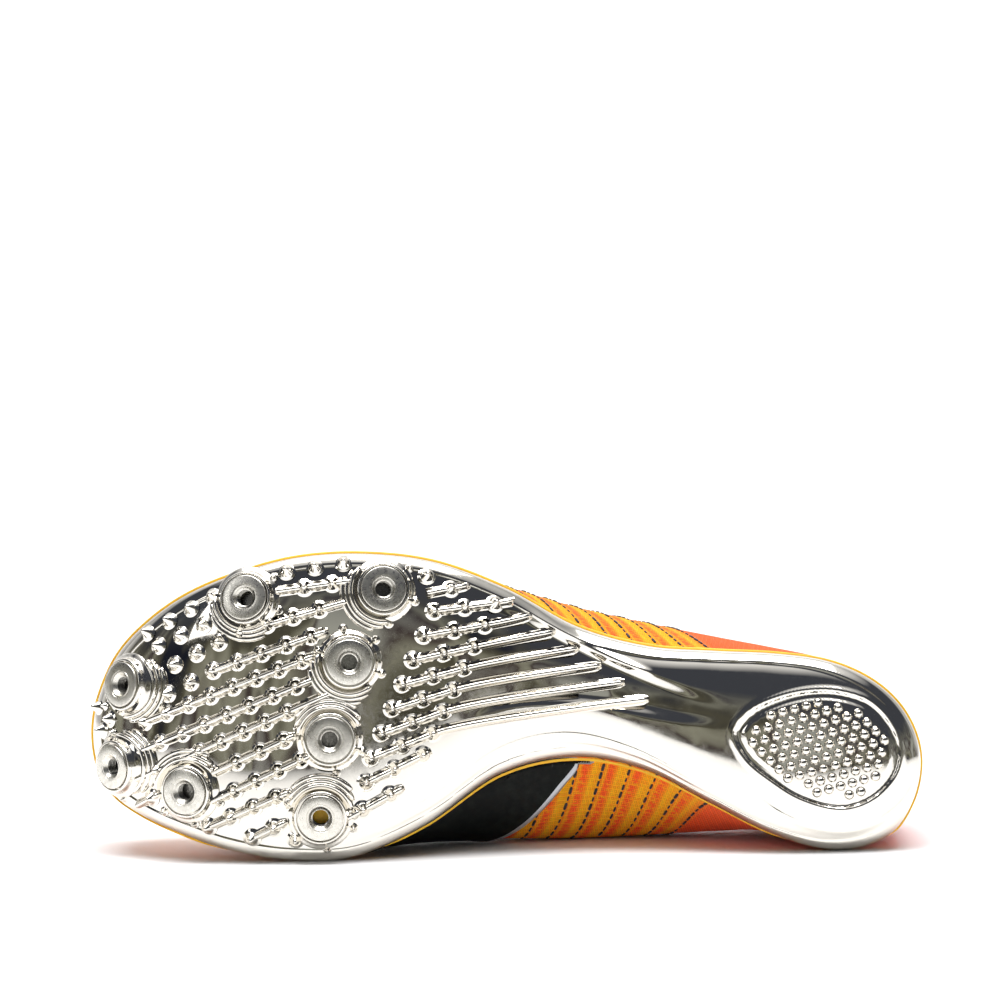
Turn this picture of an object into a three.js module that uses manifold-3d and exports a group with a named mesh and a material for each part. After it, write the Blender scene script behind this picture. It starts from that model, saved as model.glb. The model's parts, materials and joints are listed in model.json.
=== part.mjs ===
// A left sprint spike shoe without its pins, lying on its inner side with the sole to the front.
// It is built upright, in millimetres: X runs from heel to toe, Y to the outer side, Z up.
// A turn is an angle round the shoe: 0 at the back of the heel, 90 at the outer waist, 180 at the toe.
import * as THREE from "three";
import { mergeVertices } from "three/addons/utils/BufferGeometryUtils.js";
import Module from "manifold-3d";

const wasm = await Module();
wasm.setup();

// Driving dimensions of the last and the sole
const LENGTH = 270;
const BALL_WIDTH = 99;
const ANKLE_HEIGHT = 104;
const ARCH_HEIGHT = 9;
const TOE_SPRING = 27;
const CUP_HEIGHT = 8;
const SOLE_CAMBER = 1.2;
const CORE_FROM_HEEL = 30;
const CORE_FROM_TOE = 26;
const RIDGE_FROM_HEEL = 38;
const RIDGE_FROM_TOE = 26;

// Walls and layers
const PLATE_WALL = 2.2;
const MIDSOLE_EDGE = 1.6;
const FOOTBED_DISH = 2.5;
const INSOLE_THICKNESS = 2.2;
const INSOLE_LIFT = 0.4;
const UPPER_WALL = 1.6;
const TONGUE_THICKNESS = 2.4;
const PANEL_THICKNESS = 0.8;
const PANEL_OVER_SOLE = 1.2;
const SEAT_GAP = 0.3;
const SLOPE_REACH = 1.5;
const FEATHER_INSET = 0.5;
const INSOLE_CLEARANCE = 1.3;

// Spike sockets and their bosses
const BOSS_HEIGHT = 2.6;
const BOSS_TOP_RADIUS = 9;
const BOSS_FOOT_RADIUS = 10.6;
const BOSS_ROOT = 1;
const SOCKET_FLANGE_RADIUS = 7.3;
const SOCKET_FLANGE = 1.2;
const SOCKET_PROUD = 0.6;
const SOCKET_BARREL_RADIUS = 4.7;
const SOCKET_BORE_RADIUS = 3.1;
const SOCKET_COUNTERSINK = 0.7;

// Tread of the forefoot and the pad under the heel
const STUD_RADIUS = 2.4;
const STUD_HEIGHT = 2.8;
const RIB_HEIGHT = 1.5;
const RIB_WIDTH = 1.9;
const TREAD_ROOT = 0.9;
const PAD_GROOVE_WIDTH = 2.2;
const PAD_GROOVE_DEPTH = 0.9;

// Throat, collar, lace and eyelets
const THROAT_HALF_WIDTH = 13;
const THROAT_TOE = 190;
const THROAT_HEEL = 112;
const EYELET_PAIRS = 5;
const EYELET_RADIUS = 2.2;
const EYELET_FROM_EDGE = 6;
const EYELET_FROM_TOE_END = 4;
const EYELET_PITCH = 14;
const LACE_WIDTH = 5.4;
const LACE_THICKNESS = 1.3;
const LACE_CLEARANCE = 0.8;
const TONGUE_HALF_WIDTH = 19;
const TONGUE_TOP = 112;
const TONGUE_PAST_THROAT = 10;
const THROAT_FLOOR = 0.4;
const THROAT_TOE_SHARE = 0.75;
const TONGUE_TOE_SHARE = 0.8;
const TONGUE_CROWN_SHARE = 0.4;
const EYELET_PUNCH = 12;

// How finely the round forms are faceted
const STATIONS = 40;
const BOSS_SIDES = 12;
const SOCKET_SIDES = 10;
const STUD_SIDES = 4;
const EYELET_SIDES = 6;
const PAD_POINTS = 16;
const COLLAR_STEPS = 11;
const PANEL_FOOT_STEPS = 6;
const SLOT_SHARES = [0, 0.25, 0.5, 0.75, 1];
const SLOT_BEND = [60, 30, 0, -30, -60];
const LACE_SHARES = [-1.15, -0.5, 0.5, 1.15];
const BISECTIONS = 36;
const SETTLE_STEPS = 30;
const WALL_UP_TO = 0.62;

const table = (columns, rows) =>
  rows.map((row) => Object.fromEntries(columns.map((name, i) => [name, row[i]])));

// Plan outline of the sole, in shares of the ball width from the heel's axis
const OUTLINE = table(["turn", "outer", "inner"], [
  [0, -0.05, -0.05],
  [10, 0.055, -0.165],
  [20, 0.153, -0.268],
  [30, 0.23, -0.321],
  [40, 0.28, -0.33],
  [50, 0.298, -0.285],
  [60, 0.301, -0.196],
  [70, 0.31, -0.1],
  [80, 0.367, -0.067],
  [90, 0.485, -0.126],
  [100, 0.564, -0.293],
  [110, 0.584, -0.399],
  [120, 0.565, -0.414],
  [130, 0.508, -0.39],
  [140, 0.434, -0.343],
  [150, 0.338, -0.292],
  [160, 0.23, -0.232],
  [170, 0.098, -0.14],
  [180, -0.02, -0.02],
]);

// Edge of the cupped sole: its rise in shares of the cup height, and how flat the sole is between the edges
const CUP = table(["turn", "outer", "inner", "flatness"], [
  [0, 1.15, 1.15, 3],
  [30, 1.1, 1.1, 3],
  [60, 1, 1.05, 2.8],
  [90, 0.9, 1, 2.8],
  [120, 0.65, 0.7, 6],
  [150, 0.65, 0.65, 6],
  [180, 0.6, 0.6, 4],
]);

// Underside of the sole along its middle, in shares of the length, arch height and toe spring
const UNDERSIDE = table(["at", "arch", "spring"], [
  [0, 0, 0],
  [0.16, 0, 0],
  [0.27, 0.5, 0],
  [0.38, 1, 0],
  [0.48, 0.85, 0],
  [0.58, 0.4, 0],
  [0.67, 0.06, 0],
  [0.73, 0, 0],
  [0.8, 0, 0.055],
  [0.87, 0, 0.235],
  [0.93, 0, 0.51],
  [1, 0, 1],
]);

// Widest line of the upper: its reach past the sole in shares of the ball width,
// its place in the wall's height
const BELLY = table(["turn", "outer", "inner", "height", "roundness"], [
  [0, 0.015, 0.015, 0.22, 1.9],
  [20, 0.01, 0, 0.22, 1.85],
  [30, 0.005, -0.03, 0.22, 1.85],
  [40, 0.008, -0.034, 0.23, 1.85],
  [50, 0.022, 0.012, 0.24, 1.85],
  [60, 0.05, 0.124, 0.26, 1.85],
  [70, 0.075, 0.236, 0.28, 1.9],
  [80, 0.062, 0.28, 0.3, 1.95],
  [90, 0.008, 0.224, 0.31, 1.95],
  [100, -0.005, 0.065, 0.31, 2],
  [110, -0.01, -0.02, 0.32, 2.05],
  [120, -0.012, -0.03, 0.33, 2.1],
  [150, -0.005, -0.01, 0.34, 2.2],
  [180, 0, 0, 0.34, 2.2],
]);

// Ridge of the upper from heel to toe, in shares of its own run, the ankle height and the ball width
const RIDGE = table(["at", "height", "across"], [
  [0, 0.98, -0.01],
  [0.2, 0.99, 0.01],
  [0.35, 0.885, 0.035],
  [0.5, 0.745, 0.045],
  [0.65, 0.61, 0.04],
  [0.8, 0.51, 0.02],
  [0.9, 0.47, 0.01],
  [1, 0.455, 0],
]);

// Collar seen from the side, in shares of the length and the ankle height
const COLLAR = table(["at", "height"], [
  [-0.06, 0.68],
  [0, 0.66],
  [0.07, 0.61],
  [0.17, 0.52],
  [0.27, 0.47],
  [0.36, 0.52],
  [0.43, 0.68],
  [0.47, 0.95],
]);

// Plain panel on the inner side, seen from that side, in shares of the length and the ankle height
const PANEL = table(["at", "height"], [
  [0.388, 0.06],
  [0.535, 0.44],
  [0.63, 0.41],
  [0.665, 0],
]);

// Spike seats, in shares of the length and the ball width
const SOCKETS = table(["along", "across"], [
  [0.807, 0.426],
  [0.646, 0.467],
  [0.683, 0.231],
  [0.703, -0.018],
  [0.711, -0.268],
  [0.871, -0.201],
  [0.962, -0.135],
  [0.953, 0.132],
]);

// Long ribs that fan out into the waist: the tip of the first, and the studs along it
const FINGER = {
  count: 7, straight: 2, bends: 3,
  tipAlong: 0.497, tipAcross: 0.45, tipStepAlong: -0.0283, tipStepAcross: -0.052,
};
const FINGER_STUD = { along: 0.513, across: 0.433, rowAlong: 0.0115, rowAcross: -0.0707, perRib: 3 };
const FINGER_PITCH = { along: 0.036, across: -0.015, fan: -0.0045 };

// Rows of studs in shares of length and ball width: first stud, step, and the bare rib before and after
const TREAD = table(["along", "across", "stepAlong", "stepAcross", "studs", "rib", "lead", "tail"], [
  [0.72, 0.398, 0.031, -0.027, 4, 1, 1.1, 0],
  [0.729, 0.31, 0.029, -0.03, 5, 1, 0.7, 0],
  [0.739, 0.232, 0.027, -0.031, 8, 1, 0.6, 0],
  [0.745, 0.148, 0.027, -0.033, 8, 1, 0.8, 0],
  [0.754, 0.064, 0.026, -0.034, 8, 1, 2, 0],
  [0.757, -0.026, 0.028, -0.038, 4, 1, 0.5, 0],
  [0.737, -0.087, 0.026, -0.036, 5, 1, 0.7, 0],
  [0.764, -0.21, 0.027, -0.035, 4, 1, 0.6, 0],
  [0.766, -0.308, 0.026, -0.037, 2, 1, 0.6, 0],
  [0.917, -0.232, 0.022, -0.034, 1, 1, 0.5, 0.8],
  [0.706, 0.482, 0.033, -0.015, 3, 1, 0.8, 0],
  [0.63, -0.192, 0.032, -0.05, 2, 1, 0.5, 0.6],
  [0.593, -0.062, 0.033, -0.046, 3, 1, 0.3, 0],
  [0.566, 0.477, 0.028, -0.017, 1, 1, 0.8, 1],
  [0.694, 0.55, 0.0335, -0.016, 3, 0, 0, 0],
  [0.595, 0.517, 0, 0, 1, 0, 0, 0],
  [0.849, 0.432, 0.0267, -0.042, 4, 0, 0, 0],
  [0.859, 0.337, 0.028, -0.036, 3, 0, 0, 0],
  [0.839, 0.283, 0.027, -0.039, 4, 0, 0, 0],
  [0.872, 0.15, 0.028, -0.04, 2, 0, 0, 0],
]);

// Drop-shaped pad under the heel: reach from its middle in shares of length and ball width, by direction
const PAD = { along: 0.112, across: -0.005, tipReach: 0.113, backReach: 0.083, sideReach: 0.186, lean: -8 };

const radians = THREE.MathUtils.degToRad;

// Smooth curve through values at places, closed on itself where a period is given
function spline(places, values, period = 0) {
  const count = places.length;
  const held = (i) => Math.min(Math.max(i, 0), count - 1);
  const placeOf = (i) =>
    period ? places[(i + count) % count] + period * Math.floor(i / count) : places[held(i)];
  const valueOf = (i) => values[period ? (i + count) % count : held(i)];
  const slope = (i) => (valueOf(i + 1) - valueOf(i - 1)) / (placeOf(i + 1) - placeOf(i - 1));
  return (place) => {
    const wrapped = place - period * Math.floor(place / period);
    const x = period ? wrapped : Math.min(Math.max(place, places[0]), places[count - 1]);
    const found = places.findLastIndex((p) => p <= x);
    const i = period ? found : Math.min(found, count - 2);
    const span = placeOf(i + 1) - placeOf(i);
    const s = (x - placeOf(i)) / span;
    const bend = s * s * (3 - 2 * s);
    const leave = s * (1 - s) * (1 - s);
    const arrive = -s * s * (1 - s);
    const level = valueOf(i) * (1 - bend) + valueOf(i + 1) * bend;
    return level + span * (leave * slope(i) + arrive * slope(i + 1));
  };
}

// Curve round the shoe from the outer column forward and the inner column back
function around(rows, outer, inner) {
  const back = rows.slice(1, -1).reverse();
  const turns = [...rows.map((row) => row.turn), ...back.map((row) => 360 - row.turn)];
  return spline(turns, [...rows.map((row) => row[outer]), ...back.map((row) => row[inner])], 360);
}

const along = (rows, column) => spline(rows.map((row) => row.at), rows.map((row) => row[column]));

const outlineAt = around(OUTLINE, "outer", "inner");
const riseAt = around(CUP, "outer", "inner");
const flatnessAt = around(CUP, "flatness", "flatness");
const bellyAt = around(BELLY, "outer", "inner");
const bellyHeightAt = around(BELLY, "height", "height");
const roundnessAt = around(BELLY, "roundness", "roundness");
const archAt = along(UNDERSIDE, "arch");
const springAt = along(UNDERSIDE, "spring");
const ridgeHeightAt = along(RIDGE, "height");
const ridgeAcrossAt = along(RIDGE, "across");
const collarAt = along(COLLAR, "height");

const mix = (a, b, share) => a + (b - a) * share;
const forward = (turn) => (1 - Math.cos(radians(turn))) / 2;
const outward = (turn) => new THREE.Vector3(-Math.cos(radians(turn)), Math.sin(radians(turn)), 0);
// The place between low and high up to which a test holds
function lastPlace(holds, from, to) {
  let [low, high] = [from, to];
  for (let step = 0; step < BISECTIONS; step += 1) {
    const half = (low + high) / 2;
    if (holds(half)) low = half;
    else high = half;
  }
  return low;
}

const floorAt = (x) => ARCH_HEIGHT * archAt(x / LENGTH) + TOE_SPRING * springAt(x / LENGTH);

// Edge of the sole in plan, moved inwards by an inset
function edgeAt(turn, inset = 0) {
  const edge = new THREE.Vector3(LENGTH * forward(turn), BALL_WIDTH * outlineAt(turn), 0);
  return edge.addScaledVector(outward(turn), -inset);
}

// Middle line of the sole, which both sides share
function coreAt(turn) {
  const x = mix(CORE_FROM_HEEL, LENGTH - CORE_FROM_TOE, forward(turn));
  const y = (BALL_WIDTH * (outlineAt(turn) + outlineAt(360 - turn))) / 2;
  return new THREE.Vector3(x, y, 0);
}

// Rise of the sole's edge, evened out between the two sides towards the middle line
function evenRise(turn, share) {
  const both = (riseAt(turn) + riseAt(360 - turn)) / 2;
  return CUP_HEIGHT * mix(both, riseAt(turn), share * share);
}

// A point of the cupped sole, from the middle line at share 0 to its edge at share 1
function cupPoint(turn, share, inset, lift) {
  const point = coreAt(turn).lerp(edgeAt(turn, inset), share);
  const curl = 1 - Math.sqrt(1 - share ** flatnessAt(turn));
  point.z = floorAt(point.x) + SOLE_CAMBER * share * share + lift + (evenRise(turn, share) - lift) * curl;
  return point;
}

// A point of the dished footbed on top of the midsole
function bedPoint(turn, share, inset, lift) {
  const point = coreAt(turn).lerp(edgeAt(turn, inset), share);
  const under = floorAt(point.x) + SOLE_CAMBER * share * share + evenRise(turn, share);
  const rim = under + SEAT_GAP + MIDSOLE_EDGE;
  point.z = rim - FOOTBED_DISH * (1 - share * share) + lift;
  return point;
}

// Where a plan point lies on the sole: its turn, and its share of the way to the edge
function solePlace(x, y) {
  const inner = y < coreAtX(x);
  const sided = (turn) => (inner ? 360 - turn : turn);
  const ahead = (turn) => {
    const core = coreAt(sided(turn));
    const edge = edgeAt(sided(turn));
    const turned = (edge.x - core.x) * (y - core.y) - (edge.y - core.y) * (x - core.x);
    return inner ? turned > 0 : turned < 0;
  };
  const turn = sided(lastPlace(ahead, 0, 180));
  const core = coreAt(turn);
  const edge = edgeAt(turn);
  return { turn, share: Math.min(Math.hypot(x - core.x, y - core.y) / core.distanceTo(edge), 1) };
}

function coreAtX(x) {
  const share = Math.min(Math.max((x - CORE_FROM_HEEL) / (LENGTH - CORE_FROM_TOE - CORE_FROM_HEEL), 0), 1);
  return coreAt((Math.acos(1 - 2 * share) * 180) / Math.PI).y;
}

// Underside of the sole at a plan point, and the frame there with Z pointing out of the sole
function underside(x, y) {
  const place = solePlace(x, y);
  return new THREE.Vector3(x, y, cupPoint(place.turn, place.share, 0, 0).z);
}

function soleFrame(x, y) {
  const reach = SLOPE_REACH;
  const ahead = underside(x + reach, y).sub(underside(x - reach, y));
  const across = underside(x, y + reach).sub(underside(x, y - reach));
  const out = across.clone().cross(ahead).normalize();
  const side = out.clone().cross(ahead).normalize();
  return new THREE.Matrix4().makeBasis(ahead.normalize(), side, out).setPosition(underside(x, y));
}

// Height of the line where the upper meets the midsole
function featherAt(turn) {
  return floorAt(edgeAt(turn).x) + SOLE_CAMBER + CUP_HEIGHT * riseAt(turn) + MIDSOLE_EDGE + 2 * SEAT_GAP;
}

// Ridge of the closed upper, which both sides share
function ridgeAt(turn) {
  const share = forward(turn);
  const x = mix(RIDGE_FROM_HEEL, LENGTH - RIDGE_FROM_TOE, share);
  return new THREE.Vector3(x, BALL_WIDTH * ridgeAcrossAt(share), ANKLE_HEIGHT * ridgeHeightAt(share));
}

// Share of the climb up the wall at which the upper is widest
const BELLY_CLIMB = 0.3;

// A point of the closed upper: climb 0 at the sole, 1 on the ridge
function lastPoint(turn, climb) {
  const foot = edgeAt(turn, FEATHER_INSET).setZ(featherAt(turn));
  const ridge = ridgeAt(turn);
  const belly = edgeAt(turn, -BALL_WIDTH * bellyAt(turn));
  belly.z = mix(foot.z, ridge.z, bellyHeightAt(turn));
  if (climb < BELLY_CLIMB) {
    const rise = climb / BELLY_CLIMB;
    const point = foot.clone().lerp(belly, 1 - (1 - rise) ** 2);
    return point.setZ(mix(foot.z, belly.z, rise));
  }
  const angle = ((climb - BELLY_CLIMB) / (1 - BELLY_CLIMB)) * (Math.PI / 2);
  const power = 2 / roundnessAt(turn);
  const point = ridge.clone().lerp(belly, Math.max(Math.cos(angle), 0) ** power);
  return point.setZ(mix(belly.z, ridge.z, Math.sin(angle) ** power));
}

function lastNormal(turn, climb) {
  const reach = 0.02;
  const held = Math.min(Math.max(climb, reach), 1 - 2 * reach);
  const round = lastPoint(turn + 1, held).sub(lastPoint(turn - 1, held));
  const upwards = lastPoint(turn, held + reach).sub(lastPoint(turn, held - reach));
  return upwards.cross(round).normalize();
}

// A point under the upper's outer face by a depth, or over it where the depth is negative
function skinPoint(turn, climb, depth) {
  if (climb === 0) return lastPoint(turn, 0).addScaledVector(outward(turn), -depth);
  const normal = lastNormal(turn, climb);
  if (climb === 1) normal.add(lastNormal(360 - turn, climb)).normalize();
  return lastPoint(turn, climb).addScaledVector(normal, -depth);
}

// The place on the closed upper above a plan point at a given distance from the ridge
function overRidge(x, offset) {
  const sided = (turn) => (offset < 0 ? 360 - turn : turn);
  const turnFor = (climb) => sided(lastPlace((turn) => lastPoint(sided(turn), climb).x < x, 0, 180));
  const isWide = (climb) => {
    const turn = turnFor(climb);
    return Math.abs(lastPoint(turn, climb).y - ridgeAt(turn).y) > Math.abs(offset);
  };
  const climb = lastPlace(isWide, BELLY_CLIMB, 1);
  return { point: lastPoint(turnFor(climb), climb), up: lastNormal(turnFor(climb), climb) };
}

// Solids from meshes, and meshes from solids
function solidOf(positions, index) {
  const mesh = { numProp: 3, vertProperties: new Float32Array(positions), triVerts: new Uint32Array(index) };
  return new wasm.Manifold(new wasm.Mesh(mesh));
}

function welded(geometry, matrix = new THREE.Matrix4()) {
  const bare = geometry.clone();
  bare.deleteAttribute("normal");
  bare.deleteAttribute("uv");
  const merged = mergeVertices(bare, 1e-4).applyMatrix4(matrix);
  return solidOf(merged.attributes.position.array, merged.index.array);
}

function geometryOf(solid) {
  const { vertProperties, triVerts } = solid.getMesh();
  const geometry = new THREE.BufferGeometry();
  geometry.setAttribute("position", new THREE.BufferAttribute(vertProperties, 3));
  geometry.setIndex(new THREE.BufferAttribute(triVerts, 1));
  geometry.computeVertexNormals();
  return geometry;
}

// A closed form from one section per turn, whose first and last points lie on lines both sides share.
// Its squares are split as a guide form's would be, so that layers of one form stay apart.
function loft(sectionAt, guideAt = sectionAt) {
  const sections = Array.from({ length: STATIONS }, (_, i) => sectionAt((360 * i) / STATIONS));
  const guides = Array.from({ length: STATIONS }, (_, i) => guideAt((360 * i) / STATIONS));
  const last = sections[0].length - 1;
  const indexOf = (i, j) => {
    const station = i % STATIONS;
    const shared = j === 0 || j === last ? Math.min(station, STATIONS - station) : station;
    return (shared % STATIONS) * (last + 1) + j;
  };
  const index = [];
  for (let i = 0; i < STATIONS; i += 1) {
    for (let j = 0; j < last; j += 1) {
      const [a, b, c, d] = [indexOf(i, j), indexOf(i + 1, j), indexOf(i + 1, j + 1), indexOf(i, j + 1)];
      const [near, far] = [guides[i], guides[(i + 1) % STATIONS]];
      const fallsBack = near[j].distanceTo(far[j + 1]) > far[j].distanceTo(near[j + 1]);
      const faces = fallsBack ? [[a, d, b], [b, d, c]] : [[a, c, b], [a, d, c]];
      index.push(...faces.filter((face) => new Set(face).size === 3).flat());
    }
  }
  return solidOf(sections.flat().flatMap((point) => point.toArray()), index);
}

// A bar of constant section laid along a path whose points know which way is up, or closed into a ring
function bar(path, section, isRing = false) {
  const sides = section.length;
  const count = path.length;
  const held = (i) => (isRing ? (i + count) % count : Math.min(Math.max(i, 0), count - 1));
  const positions = path.flatMap(({ point, up }, i) => {
    const heading = path[held(i + 1)].point.clone().sub(path[held(i - 1)].point);
    const side = up.clone().cross(heading).normalize();
    return section.flatMap(([s, u]) =>
      point.clone().addScaledVector(side, s).addScaledVector(up, u).toArray());
  });
  const index = [];
  for (let i = 0; i < (isRing ? count : count - 1); i += 1) {
    for (let j = 0; j < sides; j += 1) {
      const [k, next] = [(j + 1) % sides, held(i + 1)];
      const [a, b, c, d] = [i * sides + j, i * sides + k, next * sides + k, next * sides + j];
      index.push(a, b, c, a, c, d);
    }
  }
  const end = (count - 1) * sides;
  for (let j = 1; j + 1 < sides && !isRing; j += 1) {
    index.push(0, j + 1, j, end, end + j, end + j + 1);
  }
  return solidOf(positions, index);
}

const joined = (solids) => solids.reduce((whole, piece) => whole.add(piece));

// A prism of a plan outline between two heights
function planPrism(points, bottom, top) {
  const shape = new THREE.Shape(points);
  const settings = { depth: top - bottom, bevelEnabled: false, curveSegments: 1 };
  const block = new THREE.ExtrudeGeometry(shape, settings);
  return welded(block.translate(0, 0, bottom));
}

// A prism of an outline in length and height, between two places across the shoe
function sidePrism(points, from, to) {
  const shape = new THREE.Shape(points);
  const block = new THREE.ExtrudeGeometry(shape, { depth: to - from, bevelEnabled: false, curveSegments: 1 });
  return welded(block.rotateX(Math.PI / 2).translate(0, to, 0));
}

const turnedUp = (geometry) => geometry.rotateX(Math.PI / 2);
const lathe = (profile, sides) => {
  const points = profile.map(([radius, height]) => new THREE.Vector2(radius, height));
  return turnedUp(new THREE.LatheGeometry(points, sides));
};

const socketFrames = SOCKETS.map(({ along: x, across }) => soleFrame(LENGTH * x, BALL_WIDTH * across));

// The plate's cupped shell, from its underside over the rim to its inner face
const OUTER_SHARES = [0, 0.45, 0.78, 0.94, 1];
const INNER_SHARES = [1, 0.88, 0.6, 0];

function plateShell() {
  return loft((turn) => [
    ...OUTER_SHARES.map((share) => cupPoint(turn, share, 0, 0)),
    ...INNER_SHARES.map((share) => cupPoint(turn, share, PLATE_WALL, PLATE_WALL)),
  ]);
}

const studAt = ({ x, y }) => {
  const cone = new THREE.ConeGeometry(STUD_RADIUS, STUD_HEIGHT + TREAD_ROOT, STUD_SIDES);
  const seated = turnedUp(cone).translate(0, 0, (STUD_HEIGHT - TREAD_ROOT) / 2);
  return welded(seated, soleFrame(x, y));
};

const RIB_SECTION = [
  [-RIB_WIDTH / 2, -TREAD_ROOT],
  [RIB_WIDTH / 2, -TREAD_ROOT],
  [0, RIB_HEIGHT],
];

const onSole = ({ x, y }) => {
  const frame = soleFrame(x, y);
  return {
    point: new THREE.Vector3().setFromMatrixPosition(frame),
    up: new THREE.Vector3().setFromMatrixColumn(frame, 2),
  };
};

const inPlan = (lengthShare, widthShare) => new THREE.Vector2(LENGTH * lengthShare, BALL_WIDTH * widthShare);

// One rib of the fan: its smooth tip in the waist, then its studs
function finger(k) {
  const tip = inPlan(FINGER.tipAlong + FINGER.tipStepAlong * k, FINGER.tipAcross + FINGER.tipStepAcross * k);
  const studs = Array.from({ length: FINGER_STUD.perRib }, (_, i) =>
    inPlan(
      FINGER_STUD.along + FINGER_STUD.rowAlong * k + FINGER_PITCH.along * i,
      FINGER_STUD.across + FINGER_STUD.rowAcross * k + (FINGER_PITCH.across + FINGER_PITCH.fan * k) * i,
    ),
  );
  const bow = studs[0].clone().multiplyScalar(2).sub(studs[1]);
  const curve = new THREE.QuadraticBezierCurve(tip, bow, studs[0]);
  return { rib: [...curve.getPoints(k < FINGER.straight ? 1 : FINGER.bends).slice(0, -1), ...studs], studs };
}

function treadRow({ along: x, across, stepAlong, stepAcross, studs: count, rib, lead, tail }) {
  const placeOf = (i) => inPlan(x + stepAlong * i, across + stepAcross * i);
  const studs = Array.from({ length: count }, (_, i) => placeOf(i));
  return { rib: rib ? [placeOf(-lead), ...studs, placeOf(count - 1 + tail)] : [], studs };
}

// Outline of the heel pad, a drop with its tip towards the waist
function padOutline(inset) {
  const reachAt = spline([0, 90, 180, 270], [PAD.tipReach * LENGTH, PAD.sideReach * BALL_WIDTH,
    PAD.backReach * LENGTH, PAD.sideReach * BALL_WIDTH], 360);
  const middle = inPlan(PAD.along, PAD.across);
  return Array.from({ length: PAD_POINTS }, (_, i) => {
    const turn = (360 * i) / PAD_POINTS;
    const reach = reachAt(turn) - inset;
    const angle = radians(turn + PAD.lean);
    return new THREE.Vector2(middle.x + reach * Math.cos(angle), middle.y + reach * Math.sin(angle));
  });
}

function padGroove() {
  const half = PAD_GROOVE_WIDTH / 2;
  const section = [
    [-half, -PAD_GROOVE_DEPTH],
    [half, -PAD_GROOVE_DEPTH],
    [half, PAD_GROOVE_DEPTH],
    [-half, PAD_GROOVE_DEPTH],
  ];
  return bar(padOutline(half).map(onSole), section, true);
}

function boss(frame) {
  const profile = [
    [0, -BOSS_ROOT],
    [BOSS_FOOT_RADIUS, -BOSS_ROOT],
    [BOSS_TOP_RADIUS, BOSS_HEIGHT],
    [0, BOSS_HEIGHT],
  ];
  return welded(lathe(profile, BOSS_SIDES), frame);
}

function bossBore(frame) {
  const root = -3 * PLATE_WALL;
  const clear = 2 * BOSS_HEIGHT;
  const seat = BOSS_HEIGHT + SOCKET_PROUD - SOCKET_FLANGE - SEAT_GAP;
  const flange = SOCKET_FLANGE_RADIUS + SEAT_GAP;
  const barrel = SOCKET_BARREL_RADIUS + SEAT_GAP;
  const profile = [
    [0, root],
    [barrel, root],
    [barrel, seat],
    [flange, seat],
    [flange, clear],
    [0, clear],
  ];
  return welded(lathe(profile, SOCKET_SIDES), frame);
}

function spikePlate() {
  const fingers = Array.from({ length: FINGER.count }, (_, k) => finger(k));
  const rows = [...fingers, ...TREAD.map(treadRow)];
  const clearOfSockets = ({ x, y }) =>
    SOCKETS.every(
      (seat) => inPlan(seat.along, seat.across).distanceTo(new THREE.Vector2(x, y)) > BOSS_TOP_RADIUS,
    );
  const thinned = (rib) => rib.filter((point, i) => i === rib.length - 1 || i % 2 === 0);
  const ribs = rows
    .filter(({ rib }) => rib.length > 1)
    .map(({ rib }) => bar(distinct(thinned(rib)).map(onSole), RIB_SECTION));
  const studs = rows.flatMap((row) => row.studs).filter(clearOfSockets).map(studAt);
  const whole = joined([plateShell(), ...ribs, ...studs, ...socketFrames.map(boss)]);
  return socketFrames.reduce((plate, frame) => plate.subtract(bossBore(frame)), whole.subtract(padGroove()));
}

const distinct = (points) =>
  points.filter((point, i) => i === 0 || point.distanceTo(points[i - 1]) > STUD_RADIUS / 4);

function spikeSocket(frame) {
  const face = BOSS_HEIGHT + SOCKET_PROUD;
  const root = 3 * SEAT_GAP - PLATE_WALL;
  const profile = [
    [SOCKET_BORE_RADIUS, root],
    [SOCKET_BARREL_RADIUS, root],
    [SOCKET_BARREL_RADIUS, face - SOCKET_FLANGE],
    [SOCKET_FLANGE_RADIUS, face - SOCKET_FLANGE],
    [SOCKET_FLANGE_RADIUS, face],
    [SOCKET_BORE_RADIUS + SOCKET_COUNTERSINK, face],
    [SOCKET_BORE_RADIUS, face - SOCKET_COUNTERSINK],
    [SOCKET_BORE_RADIUS, root],
  ];
  return welded(lathe(profile, SOCKET_SIDES), frame);
}

const BED_SHARES = [1, 0.6, 0];

function midsole() {
  const inset = PLATE_WALL + SEAT_GAP;
  return loft((turn) => {
    const under = INNER_SHARES.toReversed().map((share) => cupPoint(turn, share, inset, inset));
    const rim = cupPoint(turn, 1, 0, 0).z + SEAT_GAP;
    under[under.length - 1].z = rim;
    const lip = edgeAt(turn).setZ(rim);
    return [...under, lip, ...BED_SHARES.map((share) => bedPoint(turn, share, 0, 0))];
  });
}

function insole() {
  const inset = FEATHER_INSET + UPPER_WALL + INSOLE_CLEARANCE;
  return loft((turn) => [
    ...BED_SHARES.toReversed().map((share) => bedPoint(turn, share, inset, INSOLE_LIFT)),
    ...BED_SHARES.map((share) => bedPoint(turn, share, inset, INSOLE_LIFT + INSOLE_THICKNESS)),
  ]);
}

// The closed upper moved inwards by a depth, with its floor let down by a drop
const CLIMBS = [0, 0.1, 0.2, 0.3, 0.45, 0.6, 0.75, 0.88, 1];

function closedUpper(depth, drop) {
  const section = (turn, under) => {
    const foot = skinPoint(turn, 0, under);
    const middle = coreAt(turn).setZ((featherAt(turn) + featherAt(360 - turn)) / 2 - drop);
    const floor = drop > 0 ? [middle, foot.clone().setZ(foot.z - drop)] : [middle];
    return [...floor, ...CLIMBS.map((climb) => skinPoint(turn, climb, under))];
  };
  return loft((turn) => section(turn, depth), (turn) => section(turn, 0));
}

const FLOOR_DROP = 4 * CUP_HEIGHT;
const layer = (outerDepth, innerDepth) =>
  closedUpper(outerDepth, 0).subtract(closedUpper(innerDepth, FLOOR_DROP));

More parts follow.
